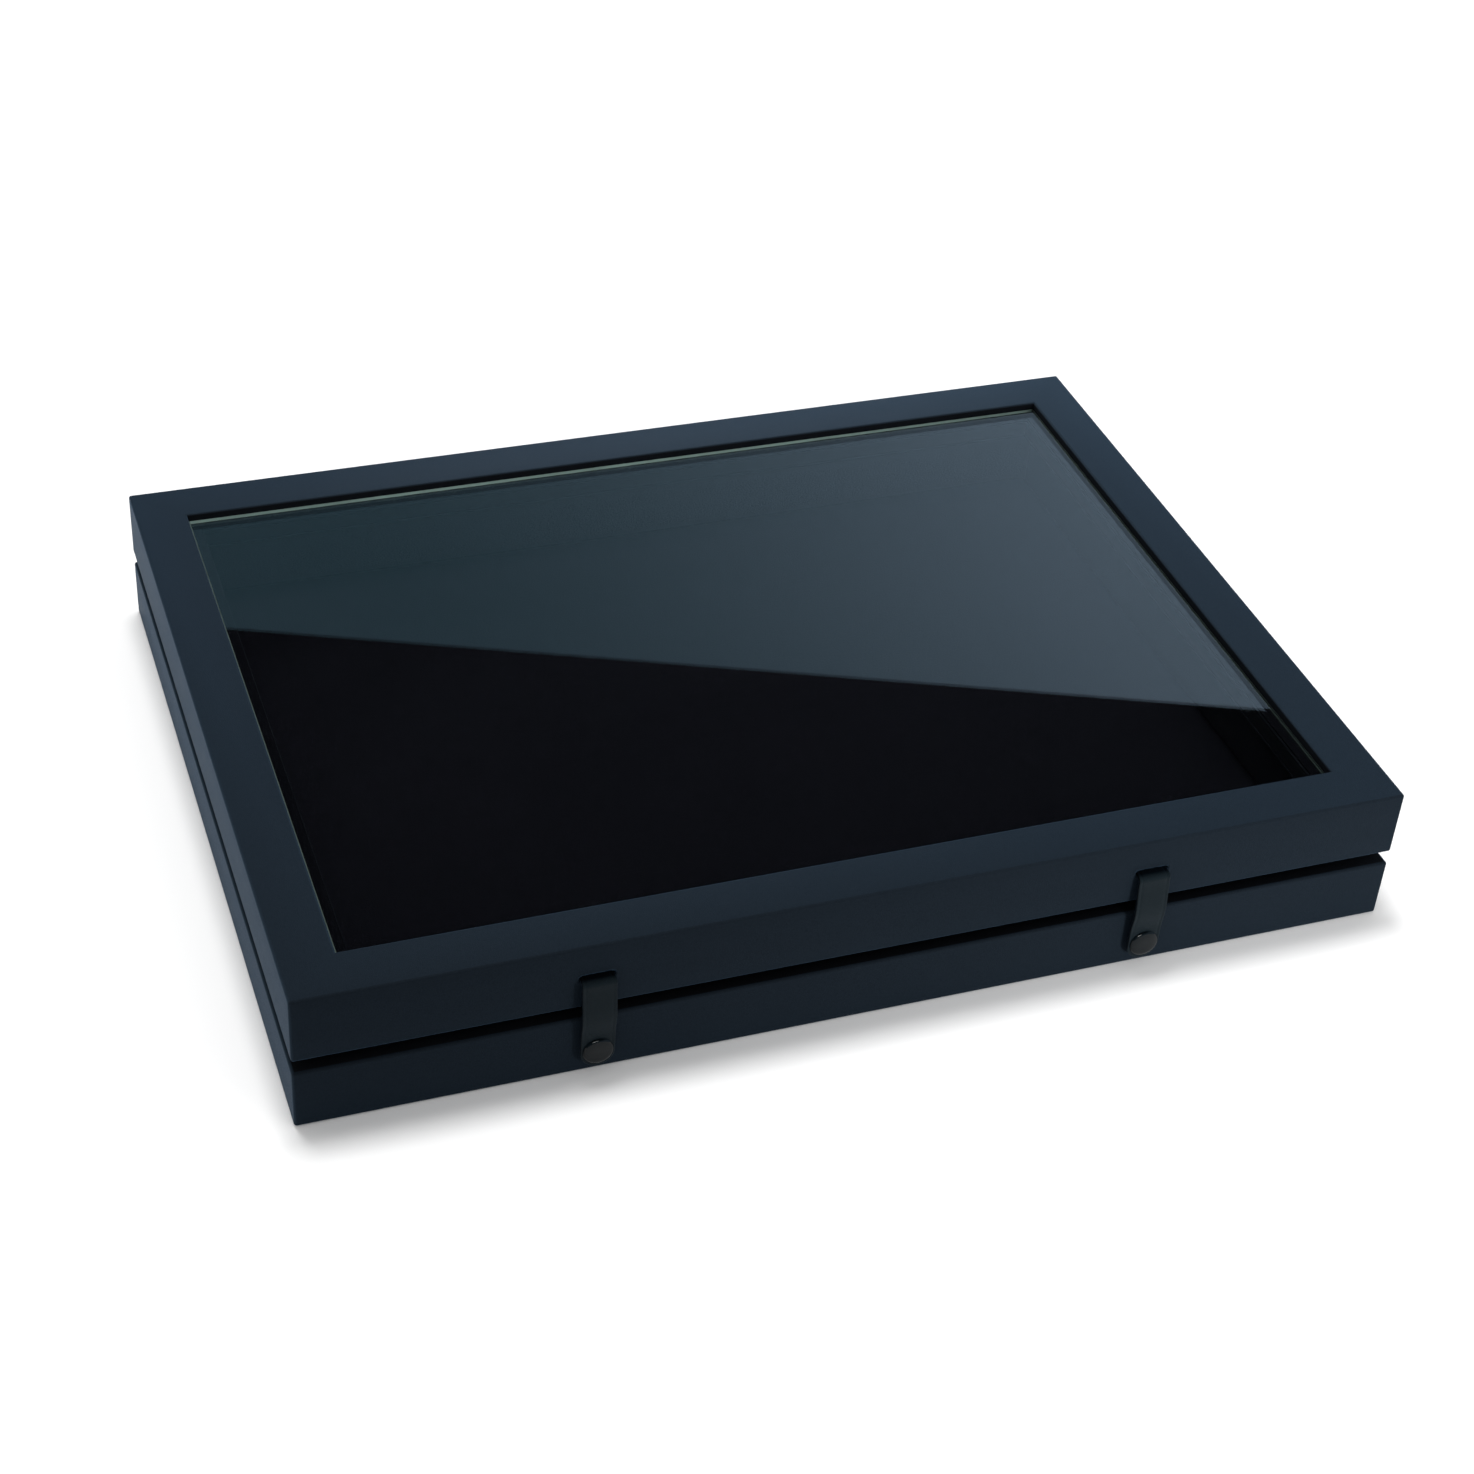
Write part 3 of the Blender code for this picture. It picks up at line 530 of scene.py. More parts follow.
def new_material(name, **constants):
    """A material with a Principled shader whose plain sockets are set by name."""
    material = bpy.data.materials.new(name)
    material.use_nodes = True
    tree = material.node_tree
    shader = tree.nodes["Principled BSDF"]
    for label, value in constants.items():
        shader.inputs[label.replace("_", " ")].default_value = value
    return material, tree, shader


def coordinates(tree, uv=False):
    """The piece's own place, or its UV map in metres, laid along a strap."""
    node = add_node(tree, "ShaderNodeTexCoord")
    return node.outputs["UV" if uv else "Object"]


def separated(tree, vector):
    """X, Y and Z of a vector."""
    return add_node(tree, "ShaderNodeSeparateXYZ", {"Vector": vector}).outputs


def wire(tree, shader, colour, roughness, height, relief):
    """Link a finish's colour and roughness, and the relief of a height map, its full step
    the distance given."""
    tree.links.new(colour, shader.inputs["Base Color"])
    tree.links.new(roughness, shader.inputs["Roughness"])
    inputs = {"Height": height, "Distance": relief, "Strength": 1.0}
    bump = add_node(tree, "ShaderNodeBump", inputs)
    tree.links.new(bump.outputs["Normal"], shader.inputs["Normal"])


def mix_surface(tree, mask, first, second):
    """Make a material's surface one of two shaders' nodes, by a mask."""
    inputs = {0: mask, 1: first.outputs[0], 2: second.outputs[0]}
    mix = add_node(tree, "ShaderNodeMixShader", inputs)
    tree.links.new(mix.outputs[0], tree.nodes["Material Output"].inputs["Surface"])


def shade(colour, factor=1.0):
    """A colour times a factor, with full alpha."""
    return (*(min(factor * part, 1.0) for part in colour), 1.0)


# ---- Finishes

SHEEN_TINT = (0.30, 0.60, 1.00, 1.0)
SHEEN_ROUGHNESS = 0.45
FURROW_PAINTED_SHADE = 0.78
SMUDGE_SHADE = 0.85
# Near black: the painted shade on a strap's end in its slit, and the dye on its cut edges.
SLIT_SHADE_AND_EDGE_DYE = (0.0006, 0.0008, 0.0010, 1.0)
# Where the painted shade on a strap's end in its slit fades out.
SLIT_SHADE_FADE = (0.0008, 0.0021)  # past the lid's front, where a strap comes into the light
# The dark cut edges are partly real edge dye and partly painted shade for the shadow line
# beside the strap.
EDGE_FADE = (0.00025, 0.00010)  # from a strap's edge, where its dye begins and is full


def strap_shade_and_dye(tree, place):
    """Mask of a strap's painted shade and dye on its UV map: painted shade on its end in
    the slit, and black dye on its cut edges.
    """
    across, along, _ = separated(tree, place)
    start, end = (ROOT_HIGH.y - FRONT + step for step in SLIT_SHADE_FADE)
    # Painted shade: the strap's end goes near black inside the slit.
    slit_shade = ranged(tree, along, 1.0, 0.0, start, end)
    from_middle = product(tree, across, 0.0, "ABSOLUTE")
    # Black dye on the cut edges, which is also painted shade for the shadow line beside the
    # strap.
    start, end = (STRAP_HALF - step for step in EDGE_FADE)
    cut = ranged(tree, from_middle, 0.0, 1.0, start, end)
    return product(tree, slit_shade, cut, "MAXIMUM")


def leatherette(
    name, colours, colour, worn, pebble, relief, roughness, lighter=1.0, uv=False,
    **constants,
):
    """Coated embossed cover: painted shade in the furrows, rubbed tops, slow change of
    tone.

    With a UV map laid along a strap it also paints shade on the strap's end in the slit,
    and darkens its cut edges with dye that also stands in for the shadow line beside the
    strap.
    """
    material, tree, shader = new_material(
        name, Sheen_Roughness=SHEEN_ROUGHNESS, Sheen_Tint=SHEEN_TINT, **constants
    )
    place = coordinates(tree, uv)
    grain = place_group(tree, "Pebbled Grain", Vector=place, Pebble_Size=pebble).outputs
    plain, rubbed = getattr(colours, colour), getattr(colours, worn)
    base = mixed(tree, grain["Tone"], shade(plain), shade(rubbed, lighter))
    # Painted shade in the grain's furrows.
    shown = mixed(tree, grain["Furrow"], shade(plain, FURROW_PAINTED_SHADE), base)
    if uv:
        # Painted shade in the slit, and dye on the cut edges.
        shown = mixed(tree, strap_shade_and_dye(tree, place), shown, SLIT_SHADE_AND_EDGE_DYE)
    low, high = roughness
    shine = ranged(tree, grain["Height"], high, low)
    wire(tree, shader, shown, shine, grain["Height"], relief)
    return material


def speckled(name, colours, colour, lighter, blotch, speck, relief, roughness, **constants):
    """A matt finish with blotches and specks: pile, board, paper or foam."""
    material, tree, shader = new_material(name, **constants)
    spots = place_group(
        tree, "Blotch and Speck",
        Vector=coordinates(tree), Blotch_Size=blotch, Speck_Size=speck,
    ).outputs
    halves = [product(tree, spots[label], 0.5) for label in ("Blotch", "Speck")]
    plain = getattr(colours, colour)
    shown = mixed(tree, product(tree, *halves, "ADD"), shade(plain), shade(plain, lighter))
    shine = ranged(tree, spots["Speck"], *roughness)
    wire(tree, shader, shown, shine, spots["Speck"], relief)
    return material


def metal(name, colours, colour, scratch, relief, roughness, **constants):
    """Plated or lacquered metal with drawn scratches and smudges."""
    material, tree, shader = new_material(name, **constants)
    lines = place_group(
        tree, "Drawn Scratches", Vector=coordinates(tree), Scratch_Width=scratch
    ).outputs
    plain = getattr(colours, colour)
    shown = mixed(tree, lines["Shine"], shade(plain, SMUDGE_SHADE), shade(plain))
    shine = ranged(tree, lines["Shine"], *roughness)
    wire(tree, shader, shown, shine, lines["Height"], relief)
    return material


def clear_glass(name, _colours):
    """Clear pane that lets the lamps through: to a shadow ray it is plain transparent."""
    material, tree, shader = new_material(
        name, Transmission_Weight=1.0, IOR=1.5, Base_Color=(0.97, 0.985, 0.98, 1)
    )
    dust = place_group(
        tree, "Blotch and Speck",
        Vector=coordinates(tree), Blotch_Size=0.08, Speck_Size=0.0006,
    ).outputs
    most_haze = 0.004
    haze = ranged(tree, dust["Blotch"], 0.0, most_haze)
    tree.links.new(haze, shader.inputs["Roughness"])
    clear = add_node(tree, "ShaderNodeBsdfTransparent", {"Color": (0.94, 0.97, 0.96, 1)})
    path = add_node(tree, "ShaderNodeLightPath")
    mix_surface(tree, path.outputs["Is Shadow Ray"], shader, clear)
    return material


def ground_edge(name, colours):
    """Ground green edge of the pane, with painted light and shade: painted palest at the
    left of its long edges and darker towards the right, and painted dark on its short
    edges, most of all below their upper chamfer. Its blotches are random tone."""
    # Shares of the painted light and shade along the edge.
    right_painted_light, blotch_share, dark_share = 0.45, 0.7, 0.04
    end_depth, chamfer_depth = 0.0005, 0.0009
    chamfer_painted_shade, below_chamfer_painted_shade = 0.80, 0.96
    material, tree, shader = new_material(name, Specular_IOR_Level=0.4)
    place = coordinates(tree)
    x, _, z = separated(tree, place)
    # Painted light: the edge is palest at the left and darker towards the right.
    across = ranged(tree, x, 1.0, right_painted_light, PANE_LOW.x, PANE_HIGH.x)
    from_middle = product(tree, x, 0.0, "ABSOLUTE")
    # Painted shade: the short edges go dark, most of all below their upper chamfer.
    at_end = product(tree, from_middle, PANE_HIGH.x - end_depth, "GREATER_THAN")
    low = product(tree, z, PANE_HIGH.z - chamfer_depth, "LESS_THAN")
    darker = product(tree, at_end, ranged(tree, low, chamfer_painted_shade, below_chamfer_painted_shade))
    spots = place_group(
        tree, "Blotch and Speck", Vector=place, Blotch_Size=0.02, Speck_Size=0.0005
    ).outputs
    blotched = product(tree, across, ranged(tree, spots["Blotch"], blotch_share, 1.0))
    mask = product(tree, blotched, ranged(tree, darker, 1.0, 0.0))
    pale = colours.ground_edge
    shown = mixed(tree, mask, shade(pale, dark_share), shade(pale))
    shine = ranged(tree, spots["Speck"], 0.35, 0.6)
    wire(tree, shader, shown, shine, spots["Speck"], 0.00002)
    return material


PILE = {
    "lighter": 1.25, "blotch": 0.05, "speck": 0.0007, "relief": 0.00006,
    "roughness": (0.85, 0.98), "Specular_IOR_Level": 0.0,
}
FINISHES = {
    "cover_leatherette": partial(
        leatherette, colour="leatherette", worn="leatherette_worn", pebble=0.00055,
        relief=0.000022, roughness=(0.40, 0.52), Specular_IOR_Level=0.012,
        Sheen_Weight=0.14,
    ),
    "strap_leatherette": partial(
        leatherette, colour="strap", worn="strap", lighter=1.35, pebble=0.00040,
        relief=0.000018, roughness=(0.40, 0.55), Specular_IOR_Level=0.06,
        Sheen_Weight=0.05, uv=True,
    ),
    "velvet_pile": partial(speckled, colour="velvet", **PILE),
    "neck_pile": partial(speckled, colour="neck", **PILE),
    "raw_board": partial(
        speckled, colour="fibreboard", lighter=1.5, blotch=0.01, speck=0.0005,
        relief=0.00005, roughness=(0.75, 0.95),
    ),
    "dyed_board": partial(
        speckled, colour="dyed_board", lighter=1.6, blotch=0.01, speck=0.0005,
        relief=0.00004, roughness=(0.7, 0.9),
    ),
    "lining_paper": partial(
        speckled, colour="lining", lighter=1.4, blotch=0.03, speck=0.0004,
        relief=0.00003, roughness=(0.7, 0.9),
    ),
    # Near-black painted shade: a matt finish on the base's top edge in the gap and on the
    # lid's underside and inner faces.
    "rim_paper": partial(
        speckled, colour="rim", lighter=1.5, blotch=0.01, speck=0.0004,
        relief=0.00003, roughness=(0.75, 0.95), Specular_IOR_Level=0.1,
    ),
    "foam_tape": partial(
        speckled, colour="tape", lighter=1.3, blotch=0.004, speck=0.0003,
        relief=0.00004, roughness=(0.8, 0.95), Specular_IOR_Level=0.02,
    ),
    "nickel_plate": partial(
        metal, colour="nickel", scratch=0.00008, relief=0.000003,
        roughness=(0.22, 0.36), Metallic=1.0,
    ),
    "cap_lacquer": partial(
        metal, colour="cap", scratch=0.00006, relief=0.0000010,
        roughness=(0.10, 0.17), Specular_IOR_Level=0.15,
    ),
    "clear_glass": clear_glass,
    "ground_edge": ground_edge,
}
# How the names of solids begin and end, and their finish.
SOLID_FINISHES = (
    ("base_", "_board", "raw_board"),
    ("base_", "_panel", "raw_board"),
    ("lid_", "_rail", "dyed_board"),
    ("neck_", "", "neck_pile"),
    ("hinge_", "", "nickel_plate"),
    ("underside_lining", "", "lining_paper"),
    ("glass_bedding_tape", "", "foam_tape"),
)


def finish_of(name, colours):
    """A finish by its name, made on first use."""
    return bpy.data.materials.get(name) or FINISHES[name](name, colours)


def finish(piece, material):
    """Give a piece its finish."""
    piece.data.materials.clear()
    piece.data.materials.append(material)


def refinish(names, material):
    """Give solids of the frame a new finish."""
    for name in names:
        node = frame["nodes"][name]
        for slot in node.material_slots:
            slot.material = material
        if not node.material_slots:
            node.data.materials.append(material)


def paint_inner_shade(cover, colours, chosen):
    """Give painted shade, a near-black matt finish, to the faces chosen by their centre's
    inset from the case's outline and its height."""
    cover.data.materials.append(finish_of("rim_paper", colours))
    x, y, z = vectors_of(cover.data.polygons, "center").T
    inset = np.minimum(LID_HIGH.x - np.abs(x), LID_HIGH.y - np.abs(y))
    cover.data.polygons.foreach_set("material_index", chosen(inset, z).astype(np.int32))


# ---- Covers


def strap_middles():
    """X of the middle of each strap."""
    middles = {}
    for side in SIDES:
        low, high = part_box(f"strap_{side}_root")
        middles[side] = (low.x + high.x) / 2
    return middles


def slit_rows(sizes):
    """Height of the slits' middle, and half the height of their opening."""
    return STRAP_EXIT + sizes.slit_raise, sizes.slit_height / 2


def slit_columns(half):
    """X places of the front's extra columns: close together across and beside a slit."""
    inside = half * np.sin(np.radians(np.linspace(-90, 90, 15)))
    beside = half + SLIT_STEPS
    offsets = np.concatenate([-beside[::-1], inside, beside])
    return np.concatenate([middle + offsets for middle in strap_middles().values()])


def open_slits(points, sizes, half):
    """Shape the front's points round the slits, and say which cells are open.

    The two rows at a slit's edges part from its middle by the half height times the root
    of one less the eighth power of how far along they are, so its ends are round; two
    sine waves make the cut uneven. Points near it stand out by the lip times e to the
    minus squared distance, counted in reaches.
    """
    middle_z, tall = slit_rows(sizes)
    reach, least, on_front, on_line = 0.0007, 0.03, 1e-6, 1e-5
    waves = ((0.05, 1900.0, 0.0), (0.04, 4300.0, 1.0))
    x, y, z = (points[..., axis].copy() for axis in range(3))
    front = np.abs(y - FRONT) < on_front
    along = np.min([np.abs(x - middle) for middle in strap_middles().values()], axis=0)
    inner = along < half + on_line
    share = np.clip(along / half, 0.0, 1.0)
    uneven = 1 + sum(size * np.sin(rate * x + shift) for size, rate, shift in waves)
    opening = tall * uneven * np.sqrt(np.maximum(1.0 - share**8, least))
    edge = front & inner & (np.abs(np.abs(z - middle_z) - tall) < on_line)
    away_x = np.maximum(along - half, 0.0)
    away_z = np.maximum(np.abs(z - middle_z) - tall, 0.0)
    lip = sizes.slit_lip * np.exp(-(away_x**2 + away_z**2) / reach**2)
    points[..., 2] = np.where(edge, middle_z + np.sign(z - middle_z) * opening, z)
    points[..., 1] = np.where(front, y - lip, y)
    cell = front & inner & (np.abs(z - (middle_z - tall)) < on_line)
    return cell[:-1] & np.roll(cell, -1, axis=1)[:-1]


def lid_cover_path(sizes):
    """The lid cover's outside, from under the ledge round the frame to the pane's ledge."""
    top, bottom, soft = LID_HIGH.z, LID_LOW.z, sizes.edge_radius
    ledge = top - sizes.ledge_drop
    ceiling = bottom + sizes.recess_height
    middle_z, tall = slit_rows(sizes)
    away = np.concatenate([[tall], tall + SLIT_STEPS])
    rows = np.concatenate([middle_z - away[::-1], middle_z + away])
    corners = [(sizes.ledge_end, ceiling), (sizes.recess_wall, ceiling)]
    corners += [(sizes.recess_wall, bottom), (0.0, bottom)]
    corners += [(0.0, row) for row in rows]
    corners += [(0.0, top), (sizes.frame_width, top)]
    corners += [(sizes.frame_width, ledge), (sizes.ledge_end, ledge)]
    radii = [0, 0, soft, soft] + [0] * len(rows) + [soft, soft, 0, 0]
    return rounded_path(corners, radii)


def make_lid_cover(sizes, colours):
    """Leatherette of the lid, with a slit for each strap."""
    soft, top = sizes.edge_radius, LID_HIGH.z
    half = (ROOT_HIGH.x - ROOT_LOW.x) / 2 + SLIT_PLAY
    points = ring_points(lid_cover_path(sizes), soft, slit_columns(half))
    open_cells = open_slits(points, sizes, half)
    faces = grid_faces(points, wrap_columns=True)[~open_cells.reshape(-1)]
    cover = add_skin("lid_leatherette", points, faces, sizes.cover_thickness)
    sharpen(cover)
    finish(cover, finish_of("cover_leatherette", colours))
    # Painted shade on the lid's underside and inner faces below the top.
    paint_inner_shade(cover, colours, lambda inset, z: (inset > soft) & (z < top - soft / 2))
    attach(cover, "lid")
    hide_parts("lid_cover")


def make_base_cover(sizes, colours):
    """Leatherette of the base: over its top edge, down its sides and turned in below."""
    soft, top = sizes.edge_radius, BASE_TOP
    corners = [(sizes.turn_in, 0.0), (0.0, 0.0), (0.0, top), (sizes.board, top)]
    points = ring_points(rounded_path(corners, [0, soft, soft, 0]), soft)
    faces = grid_faces(points, wrap_columns=True)
    cover = add_skin("base_leatherette", points, faces, sizes.cover_thickness)
    sharpen(cover)
    finish(cover, finish_of("cover_leatherette", colours))
    # Painted shade on the base's top edge, inside the gap under the lid.
    paint_inner_shade(cover, colours, lambda inset, z: (inset > soft) & (z > top / 2))
    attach(cover, "base")
    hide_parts("base_cover")


# ---- Pane and pad


def make_pane(sizes, colours):
    """Glass pane: clear faces and ground, chamfered edges.

    A closed set of rings round the pane: its outline drawn in by the arris at the bottom,
    full size at the edge, and drawn in again at the top. Both faces are single polygons.
    """
    arris, low, high = sizes.pane_arris, PANE_LOW.z, PANE_HIGH.z
    half = np.array([PANE_HIGH.x, PANE_HIGH.y])
    rings = [(arris, low), (0.0, low + arris), (0.0, high - arris), (arris, high)]
    rows = [
        np.column_stack([CORNER_SIGNS * (half - inset), np.full(4, height)])
        for inset, height in rings
    ]
    pane = closed_tube("glass_lid_pane", np.stack(rows))
    pane.data.shade_flat()
    for name in ("clear_glass", "ground_edge"):
        pane.data.materials.append(finish_of(name, colours))
    level = 0.99
    is_edge = np.abs(vectors_of(pane.data.polygons, "normal")[:, 2]) < level
    pane.data.polygons.foreach_set("material_index", is_edge.astype(np.int32))
    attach(pane, "lid")
    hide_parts("glass_pane")


def pad_outline(share, height, sizes):
    """A ring of the pad: its rectangle times a share, its sides pulled in by the pull
    times one less the square of how far along the side a point is. Points lie closer
    together towards the corners, which a sum of high powers rounds."""
    count, power = 40, 90
    half = np.array([PAD_HIGH.x, PAD_HIGH.y])
    along = np.sin(np.radians(np.linspace(-90, 90, count, endpoint=False)))
    ones = np.ones(count)
    sides = ((along, -ones), (ones, along), (-along, ones), (-ones, -along))
    unit = np.concatenate([np.column_stack(side) for side in sides])
    pull = sizes.pad_pull * (1 - unit[:, ::-1] ** 2) * (np.abs(unit) == 1)
    flat = unit * half - np.sign(unit) * pull
    size = (np.abs(unit) ** power).sum(axis=1) ** (1 / power)
    flat = flat / size[:, None] * share
    return np.column_stack([flat, np.full(len(flat), height)])


def make_pad(sizes, colours):
    """Velvet pad: a crowned closed form with rolled edges and sides that pull in.

    Its top rises by the crown times one less the fourth power of the share. Its edges are
    quarter circles, the lower ones a third of the size of the upper ones.
    """
    inner, soft, half = 0.02, sizes.pad_rounding, PAD_HIGH.x
    under, edge_top = soft / 3, PAD_HIGH.z - sizes.pad_crown
    top = np.linspace(inner, 1 - soft / half, 14)
    upper, lower = np.radians(np.linspace(10, 90, 7)), np.radians(np.linspace(20, 90, 4))
    bottom = np.array([0.7, 0.3, inner])
    rings = [
        (top, edge_top + sizes.pad_crown * (1 - top**4)),
        (1 - soft * (1 - np.sin(upper)) / half, edge_top - soft * (1 - np.cos(upper))),
        (1 - under * (1 - np.cos(lower)) / half, PAD_LOW.z + under * (1 - np.sin(lower))),
        (bottom, np.full(len(bottom), PAD_LOW.z)),
    ]
    shares, heights = (np.concatenate(column) for column in zip(*rings))
    points = np.stack([pad_outline(*ring, sizes) for ring in zip(shares, heights)])
    pad = closed_tube("velvet_pad", points[::-1])
    finish(pad, finish_of("velvet_pile", colours))
    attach(pad, "base")
    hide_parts("display_pad")


# ---- Straps and press studs


def eased(start, end, steps):
    """Points of (out, height) after one and up to another: even steps in height, and out
    along half a cosine wave."""
    height = np.linspace(start[1], end[1], steps + 1)[1:]
    share = (start[1] - height) / (start[1] - end[1])
    out = start[0] + (end[0] - start[0]) * (1 - np.cos(np.pi * share)) / 2
    return np.column_stack([out, height])


def strap_line():
    """The strap's middle as (out, height) points, its normals, its length so far, and how
    far below the tip's centre it is.

    It leaves the slit level, bends down along a quarter circle, eases out to its bow over
    the gap and back in to the cap's upper edge along half cosine waves, and hangs
    straight to its tip.
    """
    stand = FRONT - SOCKET_LOW.y + FASTENER_GAP + STRAP_THICK / 2
    hang = (BEND_START + BEND_RADIUS, STRAP_EXIT - BEND_RADIUS)
    bow = (BOW_OUT, (BASE_TOP + LID_LOW.z) / 2)
    cap_edge, tip_centre = CAP_HIGH.z, STRAP_LOW.z + STRAP_HALF
    root = np.linspace(FRONT - ROOT_HIGH.y, BEND_START, 9)[:-1]
    level = np.column_stack([root, np.full(len(root), STRAP_EXIT)])
    corner = arc((BEND_START, hang[1]), BEND_RADIUS, 90, 0, 10)
    upper, lower = eased(hang, bow, 17), eased(bow, (stand, cap_edge), 13)
    straight = np.linspace(cap_edge, tip_centre, 6)[1:]
    round_end = tip_centre - STRAP_HALF * np.sin(np.radians(np.linspace(7, 89, 14)))
    low = np.concatenate([straight, round_end])
    end = np.column_stack([np.full(len(low), stand), low])
    line = np.concatenate([level, corner, upper, lower, end])
    run = np.gradient(line, axis=0)
    run /= np.linalg.norm(run, axis=1)[:, None]
    normal = np.column_stack([-run[:, 1], run[:, 0]])
    steps = np.linalg.norm(np.diff(line, axis=0), axis=1)
    length = np.concatenate([[0.0], np.cumsum(steps)])
    return line, normal, length, np.maximum(tip_centre - line[:, 1], 0.0)


def strap_section(sizes):
    """Insets from the strap's edge and how far its front and back stand out there.

    The cut corners are quarter circles, and a creased line dips into the front.
    """
    soft, dip, half = sizes.strap_corner, sizes.strap_crease, STRAP_THICK / 2
    turn = np.radians(np.linspace(0, 90, 5))
    corner = np.column_stack([soft * (1 - np.cos(turn)), half - soft * (1 - np.sin(turn))])
    start, inner = sizes.strap_crease_inset, (0.4 * STRAP_HALF, half)
    crease = [(start, half), (1.25 * start, half - dip), (1.5 * start, half), inner]
    return np.concatenate([corner, crease]), np.concatenate([corner, [inner]])


def lay_flat(strap, middle, line, length):
    """A UV map in metres: the distance across from the strap's middle, and the length so
    far of the line's nearest point."""
    x, y, z = vectors_of(strap.data.vertices, "co").T
    gap = (FRONT - y[:, None] - line[:, 0]) ** 2 + (z[:, None] - line[:, 1]) ** 2
    flat = np.column_stack([x - middle, length[np.argmin(gap, axis=1)]])
    corner_vertex = np.empty(len(strap.data.loops), np.int32)
    strap.data.loops.foreach_get("vertex_index", corner_vertex)
    uv = strap.data.uv_layers.new(name="along_strap")
    uv.data.foreach_set("uv", flat[corner_vertex].ravel())

def make_strap(side, middle, sizes, colours):
    """One strap from inside its slit to its tip, in one piece across the joint.

    At the round tip each column keeps its inset from the edge: with R the half width and
    h how far a row is below the tip's centre, it is the root of (R - inset)^2 - h^2 from
    the middle, and no inset is larger than R - h.
    """
    line, normal, length, below = strap_line()
    front, back = strap_section(sizes)
    room = (STRAP_HALF - below)[:, None]
    sides = []
    quarters = ((1, 1, front), (1, -1, back), (-1, -1, back), (-1, 1, front))
    for sign, face, profile in quarters:
        column = profile[:, 0] if sign * face < 0 else profile[::-1, 0]
        inset = np.minimum(column[None, :], room)
        out = face * np.interp(inset, profile[:, 0], profile[:, 1])
        half_chord = np.maximum((STRAP_HALF - inset) ** 2 - below[:, None] ** 2, 0.0)
        sides.append((sign * np.sqrt(half_chord), out))
    across, out = (np.concatenate(part, axis=1) for part in zip(*sides))
    away = line[:, :1] + normal[:, :1] * out
    height = line[:, 1:] + normal[:, 1:] * out
    points = np.stack([middle + across, FRONT - away, height], axis=-1)
    strap = closed_tube(f"strap_{side}_leather", points)
    lay_flat(strap, middle, line, length)
    sharpen(strap, STRAP_SMOOTH_DEGREES)
    finish(strap, finish_of("strap_leatherette", colours))
    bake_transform(strap)
    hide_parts(f"strap_{side}", f"strap_{side}_root")


def cap_profile():
    """Half section of a cap: rounded face, flat back with its post.

    The face stands out from its edge by its height times the root of one less the cube of
    the radius: with an angle whose sine is the radius to the power 1.5, that is its cosine.
    """
    rim, post = 0.00012, 0.0012
    outer = (CAP_HIGH.x - CAP_LOW.x) / 2
    back = FRONT - SOCKET_LOW.y + 2 * FASTENER_GAP + STRAP_THICK
    tall = FRONT - CAP_LOW.y - (back + rim)
    share = np.linspace(0.01, 1.0, 24)
    turn = np.arcsin(share**1.5)
    face = np.column_stack([outer * share, back + rim + tall * np.cos(turn)])
    end = FRONT - CAP_HIGH.y
    rest = [(outer - rim, back), (post, back), (post, end), (AXIS_RADIUS, end)]
    return np.concatenate([face, rest])


def stud_profile():
    """Half section of a stud: head with a waist below it, flange and shank."""
    head, head_round = 0.0014, 0.0004
    waist, waist_depth, waist_round = 0.00175, 0.00095, 0.0003
    flange, flange_out, flange_round = 0.00375, 0.00055, 0.00025
    shank, shank_out = 0.0010, 0.0003
    top, end = FRONT - STUD_LOW.y, FRONT - STUD_HIGH.y
    return np.concatenate(
        [
            [(AXIS_RADIUS, top)],
            arc((head, top - head_round), head_round, 90, -60, 8),
            arc((waist, top - waist_depth), waist_round, 140, 200, 4),
            arc((flange, flange_out), flange_round, 90, -90, 6),
            [(shank, shank_out), (shank, end), (AXIS_RADIUS, end)],
        ]
    )


def socket_profile():
    """Closed half section of a socket: a rolled ring with a thin web at its back."""
    bore, web, hole, roll = 0.0022, 0.0003, 0.00145, 0.0003
    outer = (SOCKET_HIGH.x - SOCKET_LOW.x) / 2
    mouth, back = FRONT - SOCKET_HIGH.y, FRONT - SOCKET_LOW.y
    return np.concatenate(
        [
            [(hole, back - web), (bore, back - web)],
            arc((bore + roll, mouth + roll), roll, 180, 270, 5),
            arc((outer - roll, mouth + roll), roll, 270, 360, 5),
            arc((outer - roll, back - roll), roll, 0, 90, 5),
            [(hole, back)],
        ]
    )


def turned_piece(name, profile, centre, sides, closed=False):
    """A turned piece: a ring if its profile is closed, and else capped at both ends."""
    points = turned_points(profile, sides, centre)
    if closed:
        piece = link_piece(name, points, grid_faces(points, True, True).tolist())
    else:
        piece = closed_tube(name, points)
    sharpen(piece, TURNED_SMOOTH_DEGREES)
    return piece


def make_fastener(side, middle, sizes, colours):
    """Cap and socket on a strap, and the stud on the base that they snap on to."""
    sides = sizes.round_sides
    centre = (middle, FRONT, (CAP_LOW.z + CAP_HIGH.z) / 2)
    body = f"strap_{side}"
    cap = turned_piece(f"cap_{side}", cap_profile(), centre, sides)
    finish(cap, finish_of("cap_lacquer", colours))
    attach(cap, body)
    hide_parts(f"strap_{side}_cap")
    ring = turned_piece(f"socket_{side}", socket_profile(), centre, sides, closed=True)
    finish(ring, finish_of("nickel_plate", colours))
    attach(ring, body)
    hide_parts(f"strap_{side}_socket")
    stud = turned_piece(f"stud_{side}", stud_profile(), centre, sides)
    finish(stud, finish_of("nickel_plate", colours))
    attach(stud, "base")
    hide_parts(f"press_stud_{side}")


# ---- Studio

SENSOR_WIDTH = 36.0
FLAT_FACE = [(0, 1, 2, 3)]


